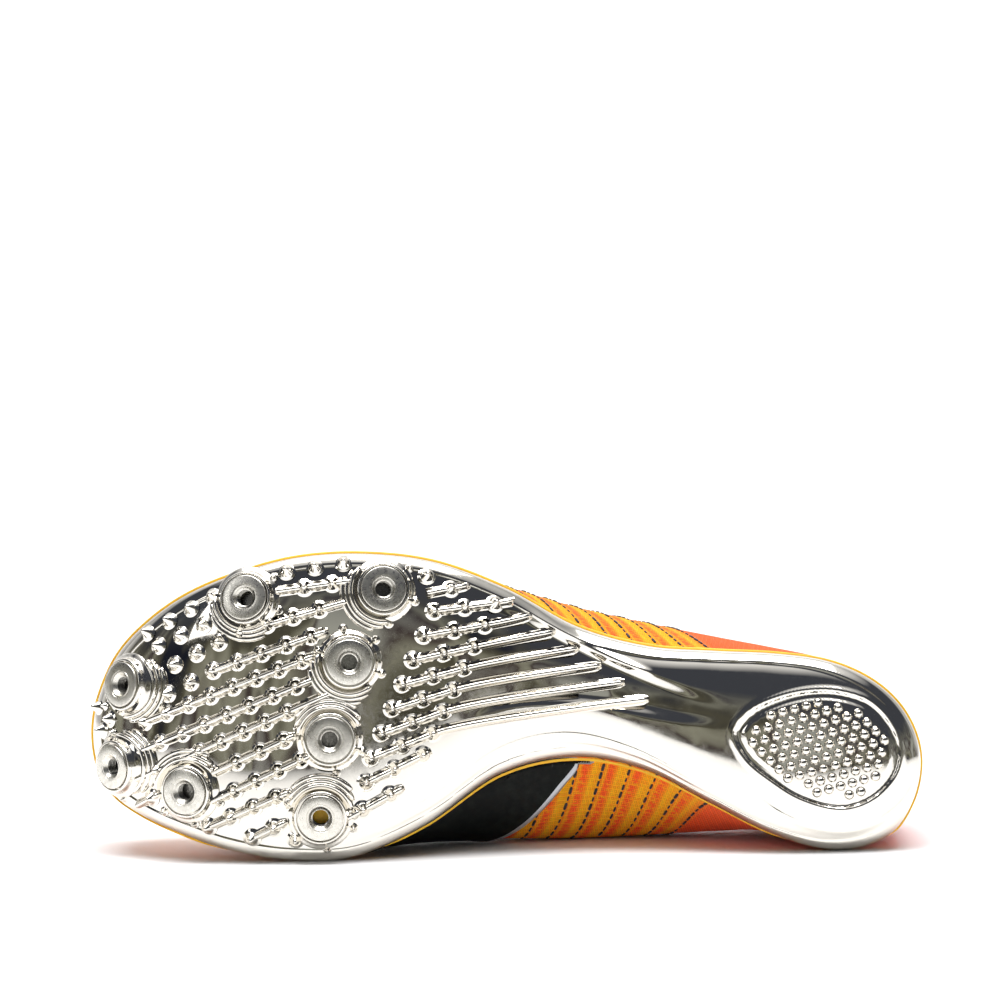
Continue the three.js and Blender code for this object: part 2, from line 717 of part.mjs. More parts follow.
const HIGH = 1.5 * ANKLE_HEIGHT;

// Everything above the collar line
function aboveCollar() {
  const first = COLLAR[0].at;
  const last = COLLAR[COLLAR.length - 1].at;
  const line = Array.from({ length: COLLAR_STEPS + 1 }, (_, i) => {
    const at = mix(first, last, i / COLLAR_STEPS);
    return new THREE.Vector2(LENGTH * at, ANKLE_HEIGHT * collarAt(at));
  });
  const corners = [new THREE.Vector2(LENGTH * last, HIGH), new THREE.Vector2(LENGTH * first, HIGH)];
  return sidePrism([...line, ...corners], -BALL_WIDTH, BALL_WIDTH);
}

// A slot along the ridge with a round toe end, for the throat and for the tongue's outline
function ridgeSlot(heelX, toeX, heelHalf, toeHalf, roundHeel) {
  const ridgeLength = LENGTH - RIDGE_FROM_TOE - RIDGE_FROM_HEEL;
  const acrossAt = (x) => BALL_WIDTH * ridgeAcrossAt((x - RIDGE_FROM_HEEL) / ridgeLength);
  const half = (x) => mix(heelHalf, toeHalf, (x - heelX) / (toeX - heelX));
  const places = SLOT_SHARES.map((share) => mix(heelX, toeX - toeHalf, share));
  const outerSide = places.map((x) => new THREE.Vector2(x, acrossAt(x) + half(x)));
  const innerSide = places.map((x) => new THREE.Vector2(x, acrossAt(x) - half(x))).reverse();
  const arc = (x, reach, width) =>
    SLOT_BEND.map((angle) => {
      const [c, s] = [Math.cos(radians(angle)), Math.sin(radians(angle))];
      return new THREE.Vector2(x + reach * c, acrossAt(x) + width * s);
    });
  const bend = arc(toeX - toeHalf, toeHalf, toeHalf);
  const rear = roundHeel ? arc(heelX, -heelHalf * TONGUE_CROWN_SHARE, heelHalf).reverse() : [];
  return planPrism([...outerSide, ...bend, ...innerSide, ...rear], THROAT_FLOOR * ANKLE_HEIGHT, HIGH);
}

// Eyelets along both sides of the throat, from its toe end
const eyelets = Array.from({ length: EYELET_PAIRS }, (_, i) => {
  const x = THROAT_TOE - EYELET_FROM_TOE_END - EYELET_PITCH * i;
  const offset = THROAT_HALF_WIDTH + EYELET_FROM_EDGE;
  return { outer: overRidge(x, offset), inner: overRidge(x, -offset) };
});

function eyeletPunch({ point, up }) {
  const across = new THREE.Vector3(1, 0, 0).cross(up).normalize();
  const frame = new THREE.Matrix4().makeBasis(across.clone().cross(up), across, up).setPosition(point);
  const pin = new THREE.CylinderGeometry(EYELET_RADIUS, EYELET_RADIUS, EYELET_PUNCH, EYELET_SIDES);
  return welded(turnedUp(pin), frame);
}

function upper() {
  const toeHalf = THROAT_HALF_WIDTH * THROAT_TOE_SHARE;
  const throat = ridgeSlot(THROAT_HEEL, THROAT_TOE, THROAT_HALF_WIDTH, toeHalf, false);
  const open = layer(0, UPPER_WALL).subtract(aboveCollar()).subtract(throat);
  const punches = eyelets.flatMap(({ outer, inner }) => [eyeletPunch(outer), eyeletPunch(inner)]);
  return punches.reduce((whole, punch) => whole.subtract(punch), open);
}

function tongue() {
  const top = UPPER_WALL + SEAT_GAP;
  const toe = THROAT_TOE + TONGUE_PAST_THROAT;
  const outline = ridgeSlot(TONGUE_TOP, toe, TONGUE_HALF_WIDTH, TONGUE_HALF_WIDTH * TONGUE_TOE_SHARE, true);
  return layer(top, top + TONGUE_THICKNESS).intersect(outline);
}

// Corners of the side panel, whose lower edge runs a little over the midsole
function panelOutline() {
  const [first, last] = [PANEL[0], PANEL[PANEL.length - 1]];
  const foot = Array.from({ length: PANEL_FOOT_STEPS + 1 }, (_, i) => {
    const at = mix(last.at, first.at, i / PANEL_FOOT_STEPS);
    const turn = 360 - THREE.MathUtils.radToDeg(Math.acos(1 - 2 * at));
    return new THREE.Vector2(LENGTH * at, featherAt(turn) + PANEL_OVER_SOLE);
  });
  const corners = PANEL.map(({ at, height }) => new THREE.Vector2(LENGTH * at, ANKLE_HEIGHT * height));
  return { corners, foot };
}

function sidePanel() {
  const { corners, foot } = panelOutline();
  const below = [foot[foot.length - 1], foot[0]].map(({ x }) => new THREE.Vector2(x, -ANKLE_HEIGHT));
  const sole = sidePrism([...foot, ...below], -2 * BALL_WIDTH, BALL_WIDTH);
  const shape = sidePrism(corners, -BALL_WIDTH, 0).subtract(sole);
  return layer(-SEAT_GAP - PANEL_THICKNESS, -SEAT_GAP).intersect(shape);
}

// Lace: a bar across the toe end, then crossings from eyelet to eyelet
const LACE_SECTION = [
  [-LACE_WIDTH / 2, -LACE_THICKNESS / 2],
  [LACE_WIDTH / 2, -LACE_THICKNESS / 2],
  [LACE_WIDTH / 2, LACE_THICKNESS / 2],
  [-LACE_WIDTH / 2, LACE_THICKNESS / 2],
];

function laceRun(from, to) {
  const side = from.point.y > to.point.y ? 1 : -1;
  const offset = THROAT_HALF_WIDTH + EYELET_FROM_EDGE;
  const over = LACE_SHARES.map((share) => {
    const x = mix(from.point.x, to.point.x, (1 + share) / 2);
    const place = overRidge(x, -side * share * offset);
    const lift = LACE_THICKNESS / 2 + LACE_CLEARANCE;
    return { point: place.point.clone().addScaledVector(place.up, lift), up: place.up };
  });
  return bar(over, LACE_SECTION);
}

function lace() {
  const first = laceRun(eyelets[0].outer, eyelets[0].inner);
  const crossings = eyelets.slice(1).flatMap((next, i) => [
    laceRun(eyelets[i].outer, next.inner),
    laceRun(eyelets[i].inner, next.outer),
  ]);
  return joined([first, ...crossings]);
}

// Finishes, and the named pieces of the shoe
const plain = (color, roughness, metalness = 0) =>
  new THREE.MeshStandardMaterial({ color, roughness, metalness });

const shoe = new THREE.Group();

function addPiece(name, solid, material) {
  const mesh = new THREE.Mesh(geometryOf(solid), material);
  mesh.name = name;
  shoe.add(mesh);
  return mesh;
}

const plateMesh = addPiece("spike_plate", spikePlate(), plain("#d9dadc", 0.08, 1));
socketFrames.forEach((frame, i) => {
  addPiece(`spike_socket_${i + 1}`, spikeSocket(frame), plain("#a9a9a2", 0.4, 1));
});
const midsoleMesh = addPiece("midsole", midsole(), plain("#f5b51e", 0.6));
addPiece("insole", insole(), plain("#2b2b2e", 0.9));
const upperMesh = addPiece("upper", upper(), plain("#f4661f", 0.85));
addPiece("tongue", tongue(), plain("#f0583a", 0.9));
const panelMesh = addPiece("side_panel", sidePanel(), plain("#16181a", 0.5));
addPiece("lace", lace(), plain("#f6c23c", 0.8));

// Laying the shoe on its inner side, until heel edge, ball edge and upper all touch the ground
function placesOf(meshes, keep) {
  return meshes.flatMap((mesh) => {
    const position = mesh.geometry.attributes.position;
    const cornerOf = (_, i) => new THREE.Vector3().fromBufferAttribute(position, i);
    const all = Array.from({ length: position.count }, cornerOf);
    return all.filter(keep);
  });
}

function layOnSide() {
  const sole = [plateMesh, midsoleMesh];
  const heel = placesOf(sole, ({ x }) => x < LENGTH / 3);
  const ball = placesOf(sole, ({ x }) => x > LENGTH / 2);
  const wall = placesOf([upperMesh, panelMesh], ({ x }) => x < WALL_UP_TO * LENGTH);
  const toeLeft = new THREE.Vector3(-1, 0, 0);
  const upRear = new THREE.Vector3(0, 1, 0);
  const outerUp = new THREE.Vector3(0, 0, 1);
  const pose = new THREE.Matrix4().makeBasis(toeLeft, outerUp, upRear);
  const lowest = (places) =>
    places
      .map((place) => place.clone().applyMatrix4(pose))
      .reduce((low, place) => (place.z < low.z ? place : low));
  for (let step = 0; step < SETTLE_STEPS; step += 1) {
    const [h, b] = [lowest(heel), lowest(ball)];
    pose.premultiply(new THREE.Matrix4().makeRotationY((h.z - b.z) / (h.x - b.x)));
    const [s, w] = [lowest([...heel, ...ball]), lowest(wall)];
    pose.premultiply(new THREE.Matrix4().makeRotationX(Math.atan2(s.z - w.z, Math.abs(w.y - s.y))));
  }
  return pose;
}

shoe.applyMatrix4(layOnSide());
shoe.updateMatrixWorld(true);
const box = new THREE.Box3().setFromObject(shoe, true);
const middle = box.getCenter(new THREE.Vector3());
shoe.position.sub(new THREE.Vector3(middle.x, middle.y, box.min.z));
shoe.updateMatrixWorld(true);

export default shoe;
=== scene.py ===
import json
import math

import bmesh
import bpy
import numpy as np
from mathutils import Euler, Matrix, Vector

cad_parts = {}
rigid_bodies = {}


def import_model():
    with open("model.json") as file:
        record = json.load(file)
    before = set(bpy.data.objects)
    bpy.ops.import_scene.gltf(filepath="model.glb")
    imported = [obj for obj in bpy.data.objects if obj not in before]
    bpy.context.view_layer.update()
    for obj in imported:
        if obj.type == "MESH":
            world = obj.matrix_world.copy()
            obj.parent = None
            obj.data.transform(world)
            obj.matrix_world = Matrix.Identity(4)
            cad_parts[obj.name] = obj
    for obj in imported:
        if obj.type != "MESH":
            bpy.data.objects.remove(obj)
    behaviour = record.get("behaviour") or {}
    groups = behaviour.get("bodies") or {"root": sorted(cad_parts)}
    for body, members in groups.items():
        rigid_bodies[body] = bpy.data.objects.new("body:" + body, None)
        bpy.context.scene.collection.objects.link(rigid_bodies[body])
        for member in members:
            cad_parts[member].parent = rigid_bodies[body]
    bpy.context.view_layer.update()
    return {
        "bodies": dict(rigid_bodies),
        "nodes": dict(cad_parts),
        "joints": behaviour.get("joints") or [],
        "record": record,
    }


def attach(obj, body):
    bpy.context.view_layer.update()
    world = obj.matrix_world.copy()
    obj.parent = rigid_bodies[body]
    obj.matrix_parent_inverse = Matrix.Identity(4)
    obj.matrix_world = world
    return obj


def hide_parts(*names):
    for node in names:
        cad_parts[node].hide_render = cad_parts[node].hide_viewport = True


bl_info = {
    "name": "Sprint spike shoe",
    "version": (1, 0, 0),
    "blender": (4, 5, 0),
    "location": "View3D > Sidebar > Spike shoe",
    "description": "Builds a left sprint spike shoe, lying on its inner side, over its packed frame",
    "category": "Object",
}

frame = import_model()

MM = 0.001
UV_UNIT = 100.0

# Driving sizes of the last and the sole, in millimetres
LENGTH = 270.0
BALL_WIDTH = 99.0
ANKLE_HEIGHT = 104.0
ARCH_HEIGHT = 9.0
TOE_SPRING = 27.0
CUP_HEIGHT = 8.0
SOLE_CAMBER = 1.2
CORE_FROM_HEEL, CORE_FROM_TOE = 30.0, 26.0
RIDGE_FROM_HEEL, RIDGE_FROM_TOE = 38.0, 26.0
PLATE_WALL = 2.2
MIDSOLE_EDGE = 1.6
FOOTBED_DISH = 2.5
INSOLE_THICKNESS = 2.2
INSOLE_LIFT = 0.4
UPPER_WALL = 1.6
SEAT_GAP = 0.3
FEATHER_INSET = 0.5
INSOLE_CLEARANCE = 1.3
BELLY_CLIMB = 0.3
THROAT_HALF_WIDTH = 13.0
THROAT_TOE = 190.0
THROAT_HEEL = 112.0
EYELET_PAIRS = 5
EYELET_RADIUS = 2.2
EYELET_FROM_EDGE = 6.0
EYELET_FROM_TOE_END = 4.0
EYELET_PITCH = 14.0
TONGUE_HALF_WIDTH = 19.0
TONGUE_THICKNESS = 2.4
TONGUE_TOP = 112.0
TONGUE_CROWN = 7.6
TONGUE_TOE = 200.0
PANEL_LIFT = 0.3
PANEL_THICKNESS = 0.8
BOSS_HEIGHT = 2.6
SOCKET_PROUD = 0.6
EDGE_BULGE = 0.75

# How the upright shoe is laid down: angles in degrees, and where its own origin comes to lie
LAID_ANGLES = (-5.1429, 2.6647, -0.2529)
LAID_AT = (134.265, -44.389, 32.565)


def columns(names, rows):
    """A table as one array for each named column."""
    return {name: np.array([row[i] for row in rows], float) for i, name in enumerate(names)}


OUTLINE = columns(("turn", "outer", "inner"), [
    (0, -0.05, -0.05), (10, 0.055, -0.165), (20, 0.153, -0.268), (30, 0.23, -0.321), (40, 0.28, -0.33),
    (50, 0.298, -0.285), (60, 0.301, -0.196), (70, 0.31, -0.1), (80, 0.367, -0.067), (90, 0.485, -0.126),
    (100, 0.564, -0.293), (110, 0.584, -0.399), (120, 0.565, -0.414), (130, 0.508, -0.39),
    (140, 0.434, -0.343), (150, 0.338, -0.292), (160, 0.23, -0.232), (170, 0.098, -0.14), (180, -0.02, -0.02),
])
CUP = columns(("turn", "outer", "inner", "flatness"), [
    (0, 1.15, 1.15, 3), (30, 1.1, 1.1, 3), (60, 1, 1.05, 2.8), (90, 0.9, 1, 2.8), (120, 0.65, 0.7, 6),
    (150, 0.65, 0.65, 6), (180, 0.6, 0.6, 4),
])
UNDERSIDE = columns(("at", "arch", "spring"), [
    (0, 0, 0), (0.16, 0, 0), (0.27, 0.5, 0), (0.38, 1, 0), (0.48, 0.85, 0), (0.58, 0.4, 0), (0.67, 0.06, 0),
    (0.73, 0, 0), (0.8, 0, 0.055), (0.87, 0, 0.235), (0.93, 0, 0.51), (1, 0, 1),
])
BELLY = columns(("turn", "outer", "inner", "height", "roundness"), [
    (0, 0.015, 0.015, 0.22, 1.9), (20, 0.01, 0, 0.22, 1.85), (30, 0.005, -0.03, 0.22, 1.85),
    (40, 0.008, -0.034, 0.23, 1.85), (50, 0.022, 0.012, 0.24, 1.85), (60, 0.05, 0.124, 0.26, 1.85),
    (70, 0.075, 0.236, 0.28, 1.9), (80, 0.062, 0.28, 0.3, 1.95), (90, 0.008, 0.224, 0.31, 1.95),
    (100, -0.005, 0.065, 0.31, 2), (110, -0.01, -0.02, 0.32, 2.05), (120, -0.012, -0.03, 0.33, 2.1),
    (150, -0.005, -0.01, 0.34, 2.2), (180, 0, 0, 0.34, 2.2),
])
RIDGE = columns(("at", "height", "across"), [
    (0, 0.98, -0.01), (0.2, 0.99, 0.01), (0.35, 0.885, 0.035), (0.5, 0.745, 0.045), (0.65, 0.61, 0.04),
    (0.8, 0.51, 0.02), (0.9, 0.47, 0.01), (1, 0.455, 0),
])
COLLAR = columns(("at", "height"), [
    (-0.06, 0.68), (0, 0.66), (0.07, 0.61), (0.17, 0.52), (0.27, 0.47), (0.36, 0.52), (0.43, 0.68),
    (0.47, 0.95),
])
# Plain side panel, in shares of length and height: three places up its heel edge, then its toe corners
PANEL_HEEL = ((0.388, 0.06), (0.408, 0.215), (0.59, 0.425))
PANEL_TOE_LOW, PANEL_TOE_HIGH = (0.663, 0.06), (0.63, 0.41)

SOCKETS = columns(("along", "across"), [
    (0.807, 0.426), (0.646, 0.467), (0.683, 0.231), (0.703, -0.018), (0.711, -0.268), (0.871, -0.201),
    (0.962, -0.135), (0.953, 0.132),
])
FINGERS = 7
OPEN_SEAT = 5
BORE_REACH = 3.2
TREAD = [
    # along, across, step along, step across, studs, has a rib, lead, tail
    (0.72, 0.398, 0.031, -0.027, 4, True, 1.1, 0), (0.729, 0.31, 0.029, -0.03, 5, True, 0.7, 0),
    (0.739, 0.232, 0.027, -0.031, 8, True, 0.6, 0), (0.745, 0.148, 0.027, -0.033, 8, True, 0.8, 0),
    (0.754, 0.064, 0.026, -0.034, 8, True, 2, 0), (0.757, -0.026, 0.028, -0.038, 4, True, 0.5, 0),
    (0.737, -0.087, 0.026, -0.036, 5, True, 0.7, 0), (0.764, -0.21, 0.027, -0.035, 4, True, 0.6, 0),
    (0.766, -0.308, 0.026, -0.037, 2, True, 0.6, 0), (0.917, -0.232, 0.022, -0.034, 1, True, 0.5, 0.8),
    (0.706, 0.482, 0.033, -0.015, 3, True, 0.8, 0), (0.63, -0.192, 0.032, -0.05, 2, True, 0.5, 0.6),
    (0.593, -0.062, 0.033, -0.046, 3, True, 0.3, 0), (0.566, 0.477, 0.028, -0.017, 1, True, 0.8, 1),
    (0.694, 0.55, 0.0335, -0.016, 3, False, 0, 0), (0.595, 0.517, 0, 0, 1, False, 0, 0),
    (0.849, 0.432, 0.0267, -0.042, 4, False, 0, 0), (0.859, 0.337, 0.028, -0.036, 3, False, 0, 0),
    (0.839, 0.283, 0.027, -0.039, 4, False, 0, 0), (0.872, 0.15, 0.028, -0.04, 2, False, 0, 0),
]
LOOSE_STUDS = [
    (0.992, 0.052), (0.976, 0.016), (0.986, -0.023), (0.985, -0.165), (0.962, -0.215), (0.925, 0.086),
    (0.879, -0.286), (0.895, -0.276), (0.74, -0.345), (0.716, -0.352),
]
PAD = [
    (0.225, 0.039), (0.206, 0.11), (0.172, 0.156), (0.137, 0.179), (0.102, 0.179), (0.066, 0.15),
    (0.041, 0.084), (0.029, 0.005), (0.033, -0.076), (0.055, -0.149), (0.084, -0.188), (0.113, -0.19),
    (0.149, -0.161), (0.179, -0.113), (0.21, -0.046),
]
# The hollow of the waist between its two ridges, in shares of length and ball width
HOLLOW = columns(("at", "inner", "outer"), [
    (0.2, 0.05, 0.13), (0.236, 0.046, 0.165), (0.278, 0.055, 0.19), (0.324, 0.073, 0.23), (0.38, 0.097, 0.29),
    (0.44, 0.105, 0.37), (0.49, 0.09, 0.43), (0.54, 0.04, 0.47),
])
# Where the stepped arcs of each seat face, in degrees from the toe direction towards the outer side
ARC_FACING = (-70, -30, -60, 80, 90, 70, 160, 200)
# Middle line of the raised spear in the hollow of the waist, in the same shares
SPEAR = columns(("at", "across"), [
    (0.31, 0.212), (0.324, 0.223), (0.366, 0.262), (0.408, 0.314), (0.46, 0.385),
])


def spline(places, values, period=0.0):
    """Smooth curve through values at places, as a function of an array."""
    p, v = np.array(places, float), np.array(values, float)
    if period:
        p = np.concatenate([p[-2:] - period, p, p[:2] + period])
        v = np.concatenate([v[-2:], v, v[:2]])
    slope = np.empty_like(v)
    slope[1:-1] = (v[2:] - v[:-2]) / (p[2:] - p[:-2])
    slope[0], slope[-1] = (v[1] - v[0]) / (p[1] - p[0]), (v[-1] - v[-2]) / (p[-1] - p[-2])

    def at(x):
        x = np.asarray(x, float)
        x = np.mod(x, period) if period else np.clip(x, p[0], p[-1])
        i = np.clip(np.searchsorted(p, x, side="right") - 1, 0, len(p) - 2)
        span = p[i + 1] - p[i]
        s = (x - p[i]) / span
        bend = s * s * (3 - 2 * s)
        leave, arrive = s * (1 - s) ** 2, -s * s * (1 - s)
        return v[i] * (1 - bend) + v[i + 1] * bend + span * (leave * slope[i] + arrive * slope[i + 1])

    return at


def around(table, outer, inner):
    """Curve round the shoe from the outer column forward and the inner column back."""
    turns = np.concatenate([table["turn"], 360 - table["turn"][-2:0:-1]])
    return spline(turns, np.concatenate([table[outer], table[inner][-2:0:-1]]), 360.0)


outline_at = around(OUTLINE, "outer", "inner")
rise_at = around(CUP, "outer", "inner")
flatness_at = around(CUP, "flatness", "flatness")
belly_at = around(BELLY, "outer", "inner")
belly_height_at = around(BELLY, "height", "height")
roundness_at = around(BELLY, "roundness", "roundness")
arch_at = spline(UNDERSIDE["at"], UNDERSIDE["arch"])
spring_at = spline(UNDERSIDE["at"], UNDERSIDE["spring"])
ridge_height_at = spline(RIDGE["at"], RIDGE["height"])
ridge_across_at = spline(RIDGE["at"], RIDGE["across"])
collar_at = spline(COLLAR["at"], COLLAR["height"])
hollow_inner_at = spline(HOLLOW["at"], HOLLOW["inner"])
hollow_outer_at = spline(HOLLOW["at"], HOLLOW["outer"])
spear_at = spline(SPEAR["at"], SPEAR["across"])


def mix(a, b, share):
    return a + (b - a) * share


def smooth(x):
    x = np.clip(x, 0, 1)
    return x * x * (3 - 2 * x)


def stack(*parts):
    return np.stack(np.broadcast_arrays(*parts), -1)


def unit(v):
    return v / np.maximum(np.linalg.norm(v, axis=-1, keepdims=True), 1e-9)


def forward(turn):
    return (1 - np.cos(np.radians(turn))) / 2


def outward(turn):
    return stack(-np.cos(np.radians(turn)), np.sin(np.radians(turn)), 0.0)


def floor_at(x):
    return ARCH_HEIGHT * arch_at(x / LENGTH) + TOE_SPRING * spring_at(x / LENGTH)


def edge_at(turn, inset=0.0):
    inset = np.asarray(inset, float)[..., None]
    return stack(LENGTH * forward(turn), BALL_WIDTH * outline_at(turn), 0.0) - outward(turn) * inset


def core_at(turn):
    x = mix(CORE_FROM_HEEL, LENGTH - CORE_FROM_TOE, forward(turn))
    return stack(x, BALL_WIDTH * (outline_at(turn) + outline_at(360 - turn)) / 2, 0.0)


def even_rise(turn, share):
    both = (rise_at(turn) + rise_at(360 - turn)) / 2
    return CUP_HEIGHT * mix(both, rise_at(turn), share * share)


def cup_point(turn, share, inset, lift):
    """A point of the cupped sole, from the middle line at share 0 to its edge at share 1."""
    point = mix(core_at(turn), edge_at(turn, inset), np.asarray(share, float)[..., None])
    curl = 1 - np.sqrt(np.maximum(1 - share ** flatness_at(turn), 0))
    base = floor_at(point[..., 0]) + SOLE_CAMBER * share * share + lift
    return stack(point[..., 0], point[..., 1], base + (even_rise(turn, share) - lift) * curl)


def bed_point(turn, share, inset, lift):
    point = mix(core_at(turn), edge_at(turn, inset), np.asarray(share, float)[..., None])
    rim = floor_at(point[..., 0]) + SOLE_CAMBER * share * share + even_rise(turn, share)
    rim = rim + SEAT_GAP + MIDSOLE_EDGE
    return stack(point[..., 0], point[..., 1], rim - FOOTBED_DISH * (1 - share * share) + lift)


def bisect(holds, low, high, steps=30):
    """The places between low and high up to which a test holds."""
    for _ in range(steps):
        half = (low + high) / 2
        yes = holds(half)
        low, high = np.where(yes, half, low), np.where(yes, high, half)
    return low


def sole_place(x, y):
    share = np.clip((x - CORE_FROM_HEEL) / (LENGTH - CORE_FROM_TOE - CORE_FROM_HEEL), 0, 1)
    inner = y < core_at(np.degrees(np.arccos(1 - 2 * share)))[..., 1]

    def ahead(turn):
        turn = np.where(inner, 360 - turn, turn)
        core, edge = core_at(turn), edge_at(turn)
        reach = edge - core
        turned = reach[..., 0] * (y - core[..., 1]) - reach[..., 1] * (x - core[..., 0])
        return np.where(inner, turned > 0, turned < 0)

    turn = bisect(ahead, np.zeros_like(x), np.full_like(x, 180.0))
    turn = np.where(inner, 360 - turn, turn)
    core, edge = core_at(turn), edge_at(turn)
    away = np.hypot(x - core[..., 0], y - core[..., 1])
    return turn, np.clip(away / np.linalg.norm(edge - core, axis=-1), 0, 1)


def segment_distance(xy, line):
    """Distance in plan from points to a polyline."""
    best = np.full(xy.shape[:-1], 1e9)
    for a, b in zip(line[:-1], line[1:]):
        t = np.clip(((xy - a) @ (b - a)) / ((b - a) @ (b - a)), 0, 1)
        best = np.minimum(best, np.linalg.norm(xy - a - t[..., None] * (b - a), axis=-1))
    return best


def pad_line(steps=8):
    closed = np.array(PAD) * (LENGTH, BALL_WIDTH)
    count = len(closed)
    place = np.arange(count) / count
    at = np.arange(count * steps + 1) / (count * steps)
    x, y = spline(place, closed[:, 0], 1.0), spline(place, closed[:, 1], 1.0)
    return stack(x(at), y(at))


PAD_LINE = pad_line()


def pad_distance(xy):
    """Distance in plan to the heel pad's outline, positive inside it."""
    away = segment_distance(xy, PAD_LINE)
    crossings = np.zeros(xy.shape[:-1], int)
    for (ax, ay), (bx, by) in zip(PAD_LINE[:-1], PAD_LINE[1:]):
        spans = (ay > xy[..., 1]) != (by > xy[..., 1])
        at = ax + (xy[..., 1] - ay) * (bx - ax) / np.where(by == ay, 1e-9, by - ay)
        crossings += spans & (xy[..., 0] < at)
    return np.where(crossings % 2 == 1, away, -away)


PAD_BAND = 2.3
PAD_BAND_DEPTH = 0.9
PAD_FLOOR_DEPTH = 0.35


def relief(x, y, from_edge):
    """How deep the plate's face is worked into its smooth form, in millimetres; raised parts are negative."""
    inside = pad_distance(stack(x, y))
    band = smooth(inside / 0.7) * (1 - smooth((inside - PAD_BAND) / 0.7))
    deep = PAD_BAND_DEPTH * band + PAD_FLOOR_DEPTH * smooth((inside - PAD_BAND) / 0.7)
    rim = -0.45 * np.exp(-((inside + 0.7) / 0.7) ** 2)
    step = -0.5 * np.exp(-((inside + 7.5) / 1.1) ** 2) * smooth((6 - y) / 16) * smooth((60 - x) / 14)
    at = x / LENGTH
    low, high = BALL_WIDTH * hollow_inner_at(at), BALL_WIDTH * hollow_outer_at(at)
    along = smooth((at - 0.225) / 0.13) * (1 - smooth((at - 0.46) / 0.1))
    hollow = 1.5 * along * smooth((y - low) / 4.4) * smooth((high - y) / 5.0)
    off_spear = (y - BALL_WIDTH * spear_at(at)) / (0.6 + 14 * np.clip(at - 0.315, 0, 1))
    spear = -0.9 * smooth((at - 0.318) / 0.03) * (1 - smooth((at - 0.43) / 0.05)) * np.exp(-off_spear ** 2)
    lip = 0.55 * smooth((from_edge - 3.4) / 1.1) * smooth((at - 0.02) / 0.04)
    waist_lines = -0.35 * (np.exp(-((from_edge - 8.5) / 0.9) ** 2) + np.exp(-((from_edge - 6.2) / 0.7) ** 2))
    waist_lines = waist_lines * smooth((low - 2 - y) / 4)
    waist_lines = waist_lines * smooth((at - 0.24) / 0.05) * (1 - smooth((at - 0.6) / 0.1))
    return deep + rim + step + hollow + spear + lip + waist_lines


def face_point(x, y, with_relief=True):
    """A point of the plate's underside over a plan place."""
    turn, share = sole_place(x, y)
    z = cup_point(turn, share, 0.0, 0.0)[..., 2]
    if with_relief:
        core, edge = core_at(turn), edge_at(turn)
        z = z + relief(x, y, (1 - share) * np.linalg.norm(edge - core, axis=-1))
    return stack(x, y, z)


def face_normal(x, y, reach=1.2):
    ahead = face_point(x + reach, y, False) - face_point(x - reach, y, False)
    across = face_point(x, y + reach, False) - face_point(x, y - reach, False)
    return unit(np.cross(across, ahead))


def feather_at(turn):
    x = edge_at(turn)[..., 0]
    return floor_at(x) + SOLE_CAMBER + CUP_HEIGHT * rise_at(turn) + MIDSOLE_EDGE + 2 * SEAT_GAP


def ridge_at(turn):
    share = forward(turn)
    x = mix(RIDGE_FROM_HEEL, LENGTH - RIDGE_FROM_TOE, share)
    return stack(x, BALL_WIDTH * ridge_across_at(share), ANKLE_HEIGHT * ridge_height_at(share))


def last_point(turn, climb):
    """A point of the closed upper: climb 0 at the sole, 1 on the ridge."""
    turn, climb = np.broadcast_arrays(np.asarray(turn, float), np.asarray(climb, float))
    foot, ridge = edge_at(turn, FEATHER_INSET), ridge_at(turn)
    foot[..., 2] = feather_at(turn)
    belly = edge_at(turn, -BALL_WIDTH * belly_at(turn))
    belly[..., 2] = mix(foot[..., 2], ridge[..., 2], belly_height_at(turn))
    rise = np.clip(climb / BELLY_CLIMB, 0, 1)
    low = mix(foot, belly, (1 - (1 - rise) ** 2)[..., None])
    low[..., 2] = mix(foot[..., 2], belly[..., 2], rise)
    angle = np.clip((climb - BELLY_CLIMB) / (1 - BELLY_CLIMB), 0, 1) * (math.pi / 2)
    power = 2 / roundness_at(turn)
    high = mix(ridge, belly, (np.maximum(np.cos(angle), 0) ** power)[..., None])
    high[..., 2] = mix(belly[..., 2], ridge[..., 2], np.maximum(np.sin(angle), 0) ** power)
    return np.where((climb < BELLY_CLIMB)[..., None], low, high)


def last_normal(turn, climb):
    reach = 0.02
    held = np.clip(climb, reach, 1 - 2 * reach)
    round_ = last_point(turn + 1, held) - last_point(turn - 1, held)
    upwards = last_point(turn, held + reach) - last_point(turn, held - reach)
    return unit(np.cross(upwards, round_))


def skin_point(turn, climb, depth):
    """A point under the upper's outer face by a depth, or over it where the depth is negative."""
    turn, climb = np.broadcast_arrays(np.asarray(turn, float), np.asarray(climb, float))
    normal = last_normal(turn, climb)
    other = last_normal(360 - turn, climb)
    share = smooth((climb - 0.93) / 0.07)[..., None] * 0.5
    normal = unit(mix(normal, other, share))
    normal = unit(mix(outward(turn), normal, smooth(climb / 0.06)[..., None]))
    return last_point(turn, climb) - normal * np.asarray(depth, float)[..., None]


def over_ridge(x, offset):
    """Turn and climb of the places above plan points at given distances from the ridge."""
    x, offset = np.broadcast_arrays(np.asarray(x, float), np.asarray(offset, float))
    side = offset < 0

    def turn_for(climb):
        turn = bisect(lambda t: last_point(np.where(side, 360 - t, t), climb)[..., 0] < x,
                      np.zeros_like(x), np.full_like(x, 180.0), 24)
        return np.where(side, 360 - turn, turn)

    def is_wide(climb):
        turn = turn_for(climb)
        return np.abs(last_point(turn, climb)[..., 1] - ridge_at(turn)[..., 1]) > np.abs(offset)

    climb = bisect(is_wide, np.full_like(x, BELLY_CLIMB), np.ones_like(x), 22)
    return turn_for(climb), climb


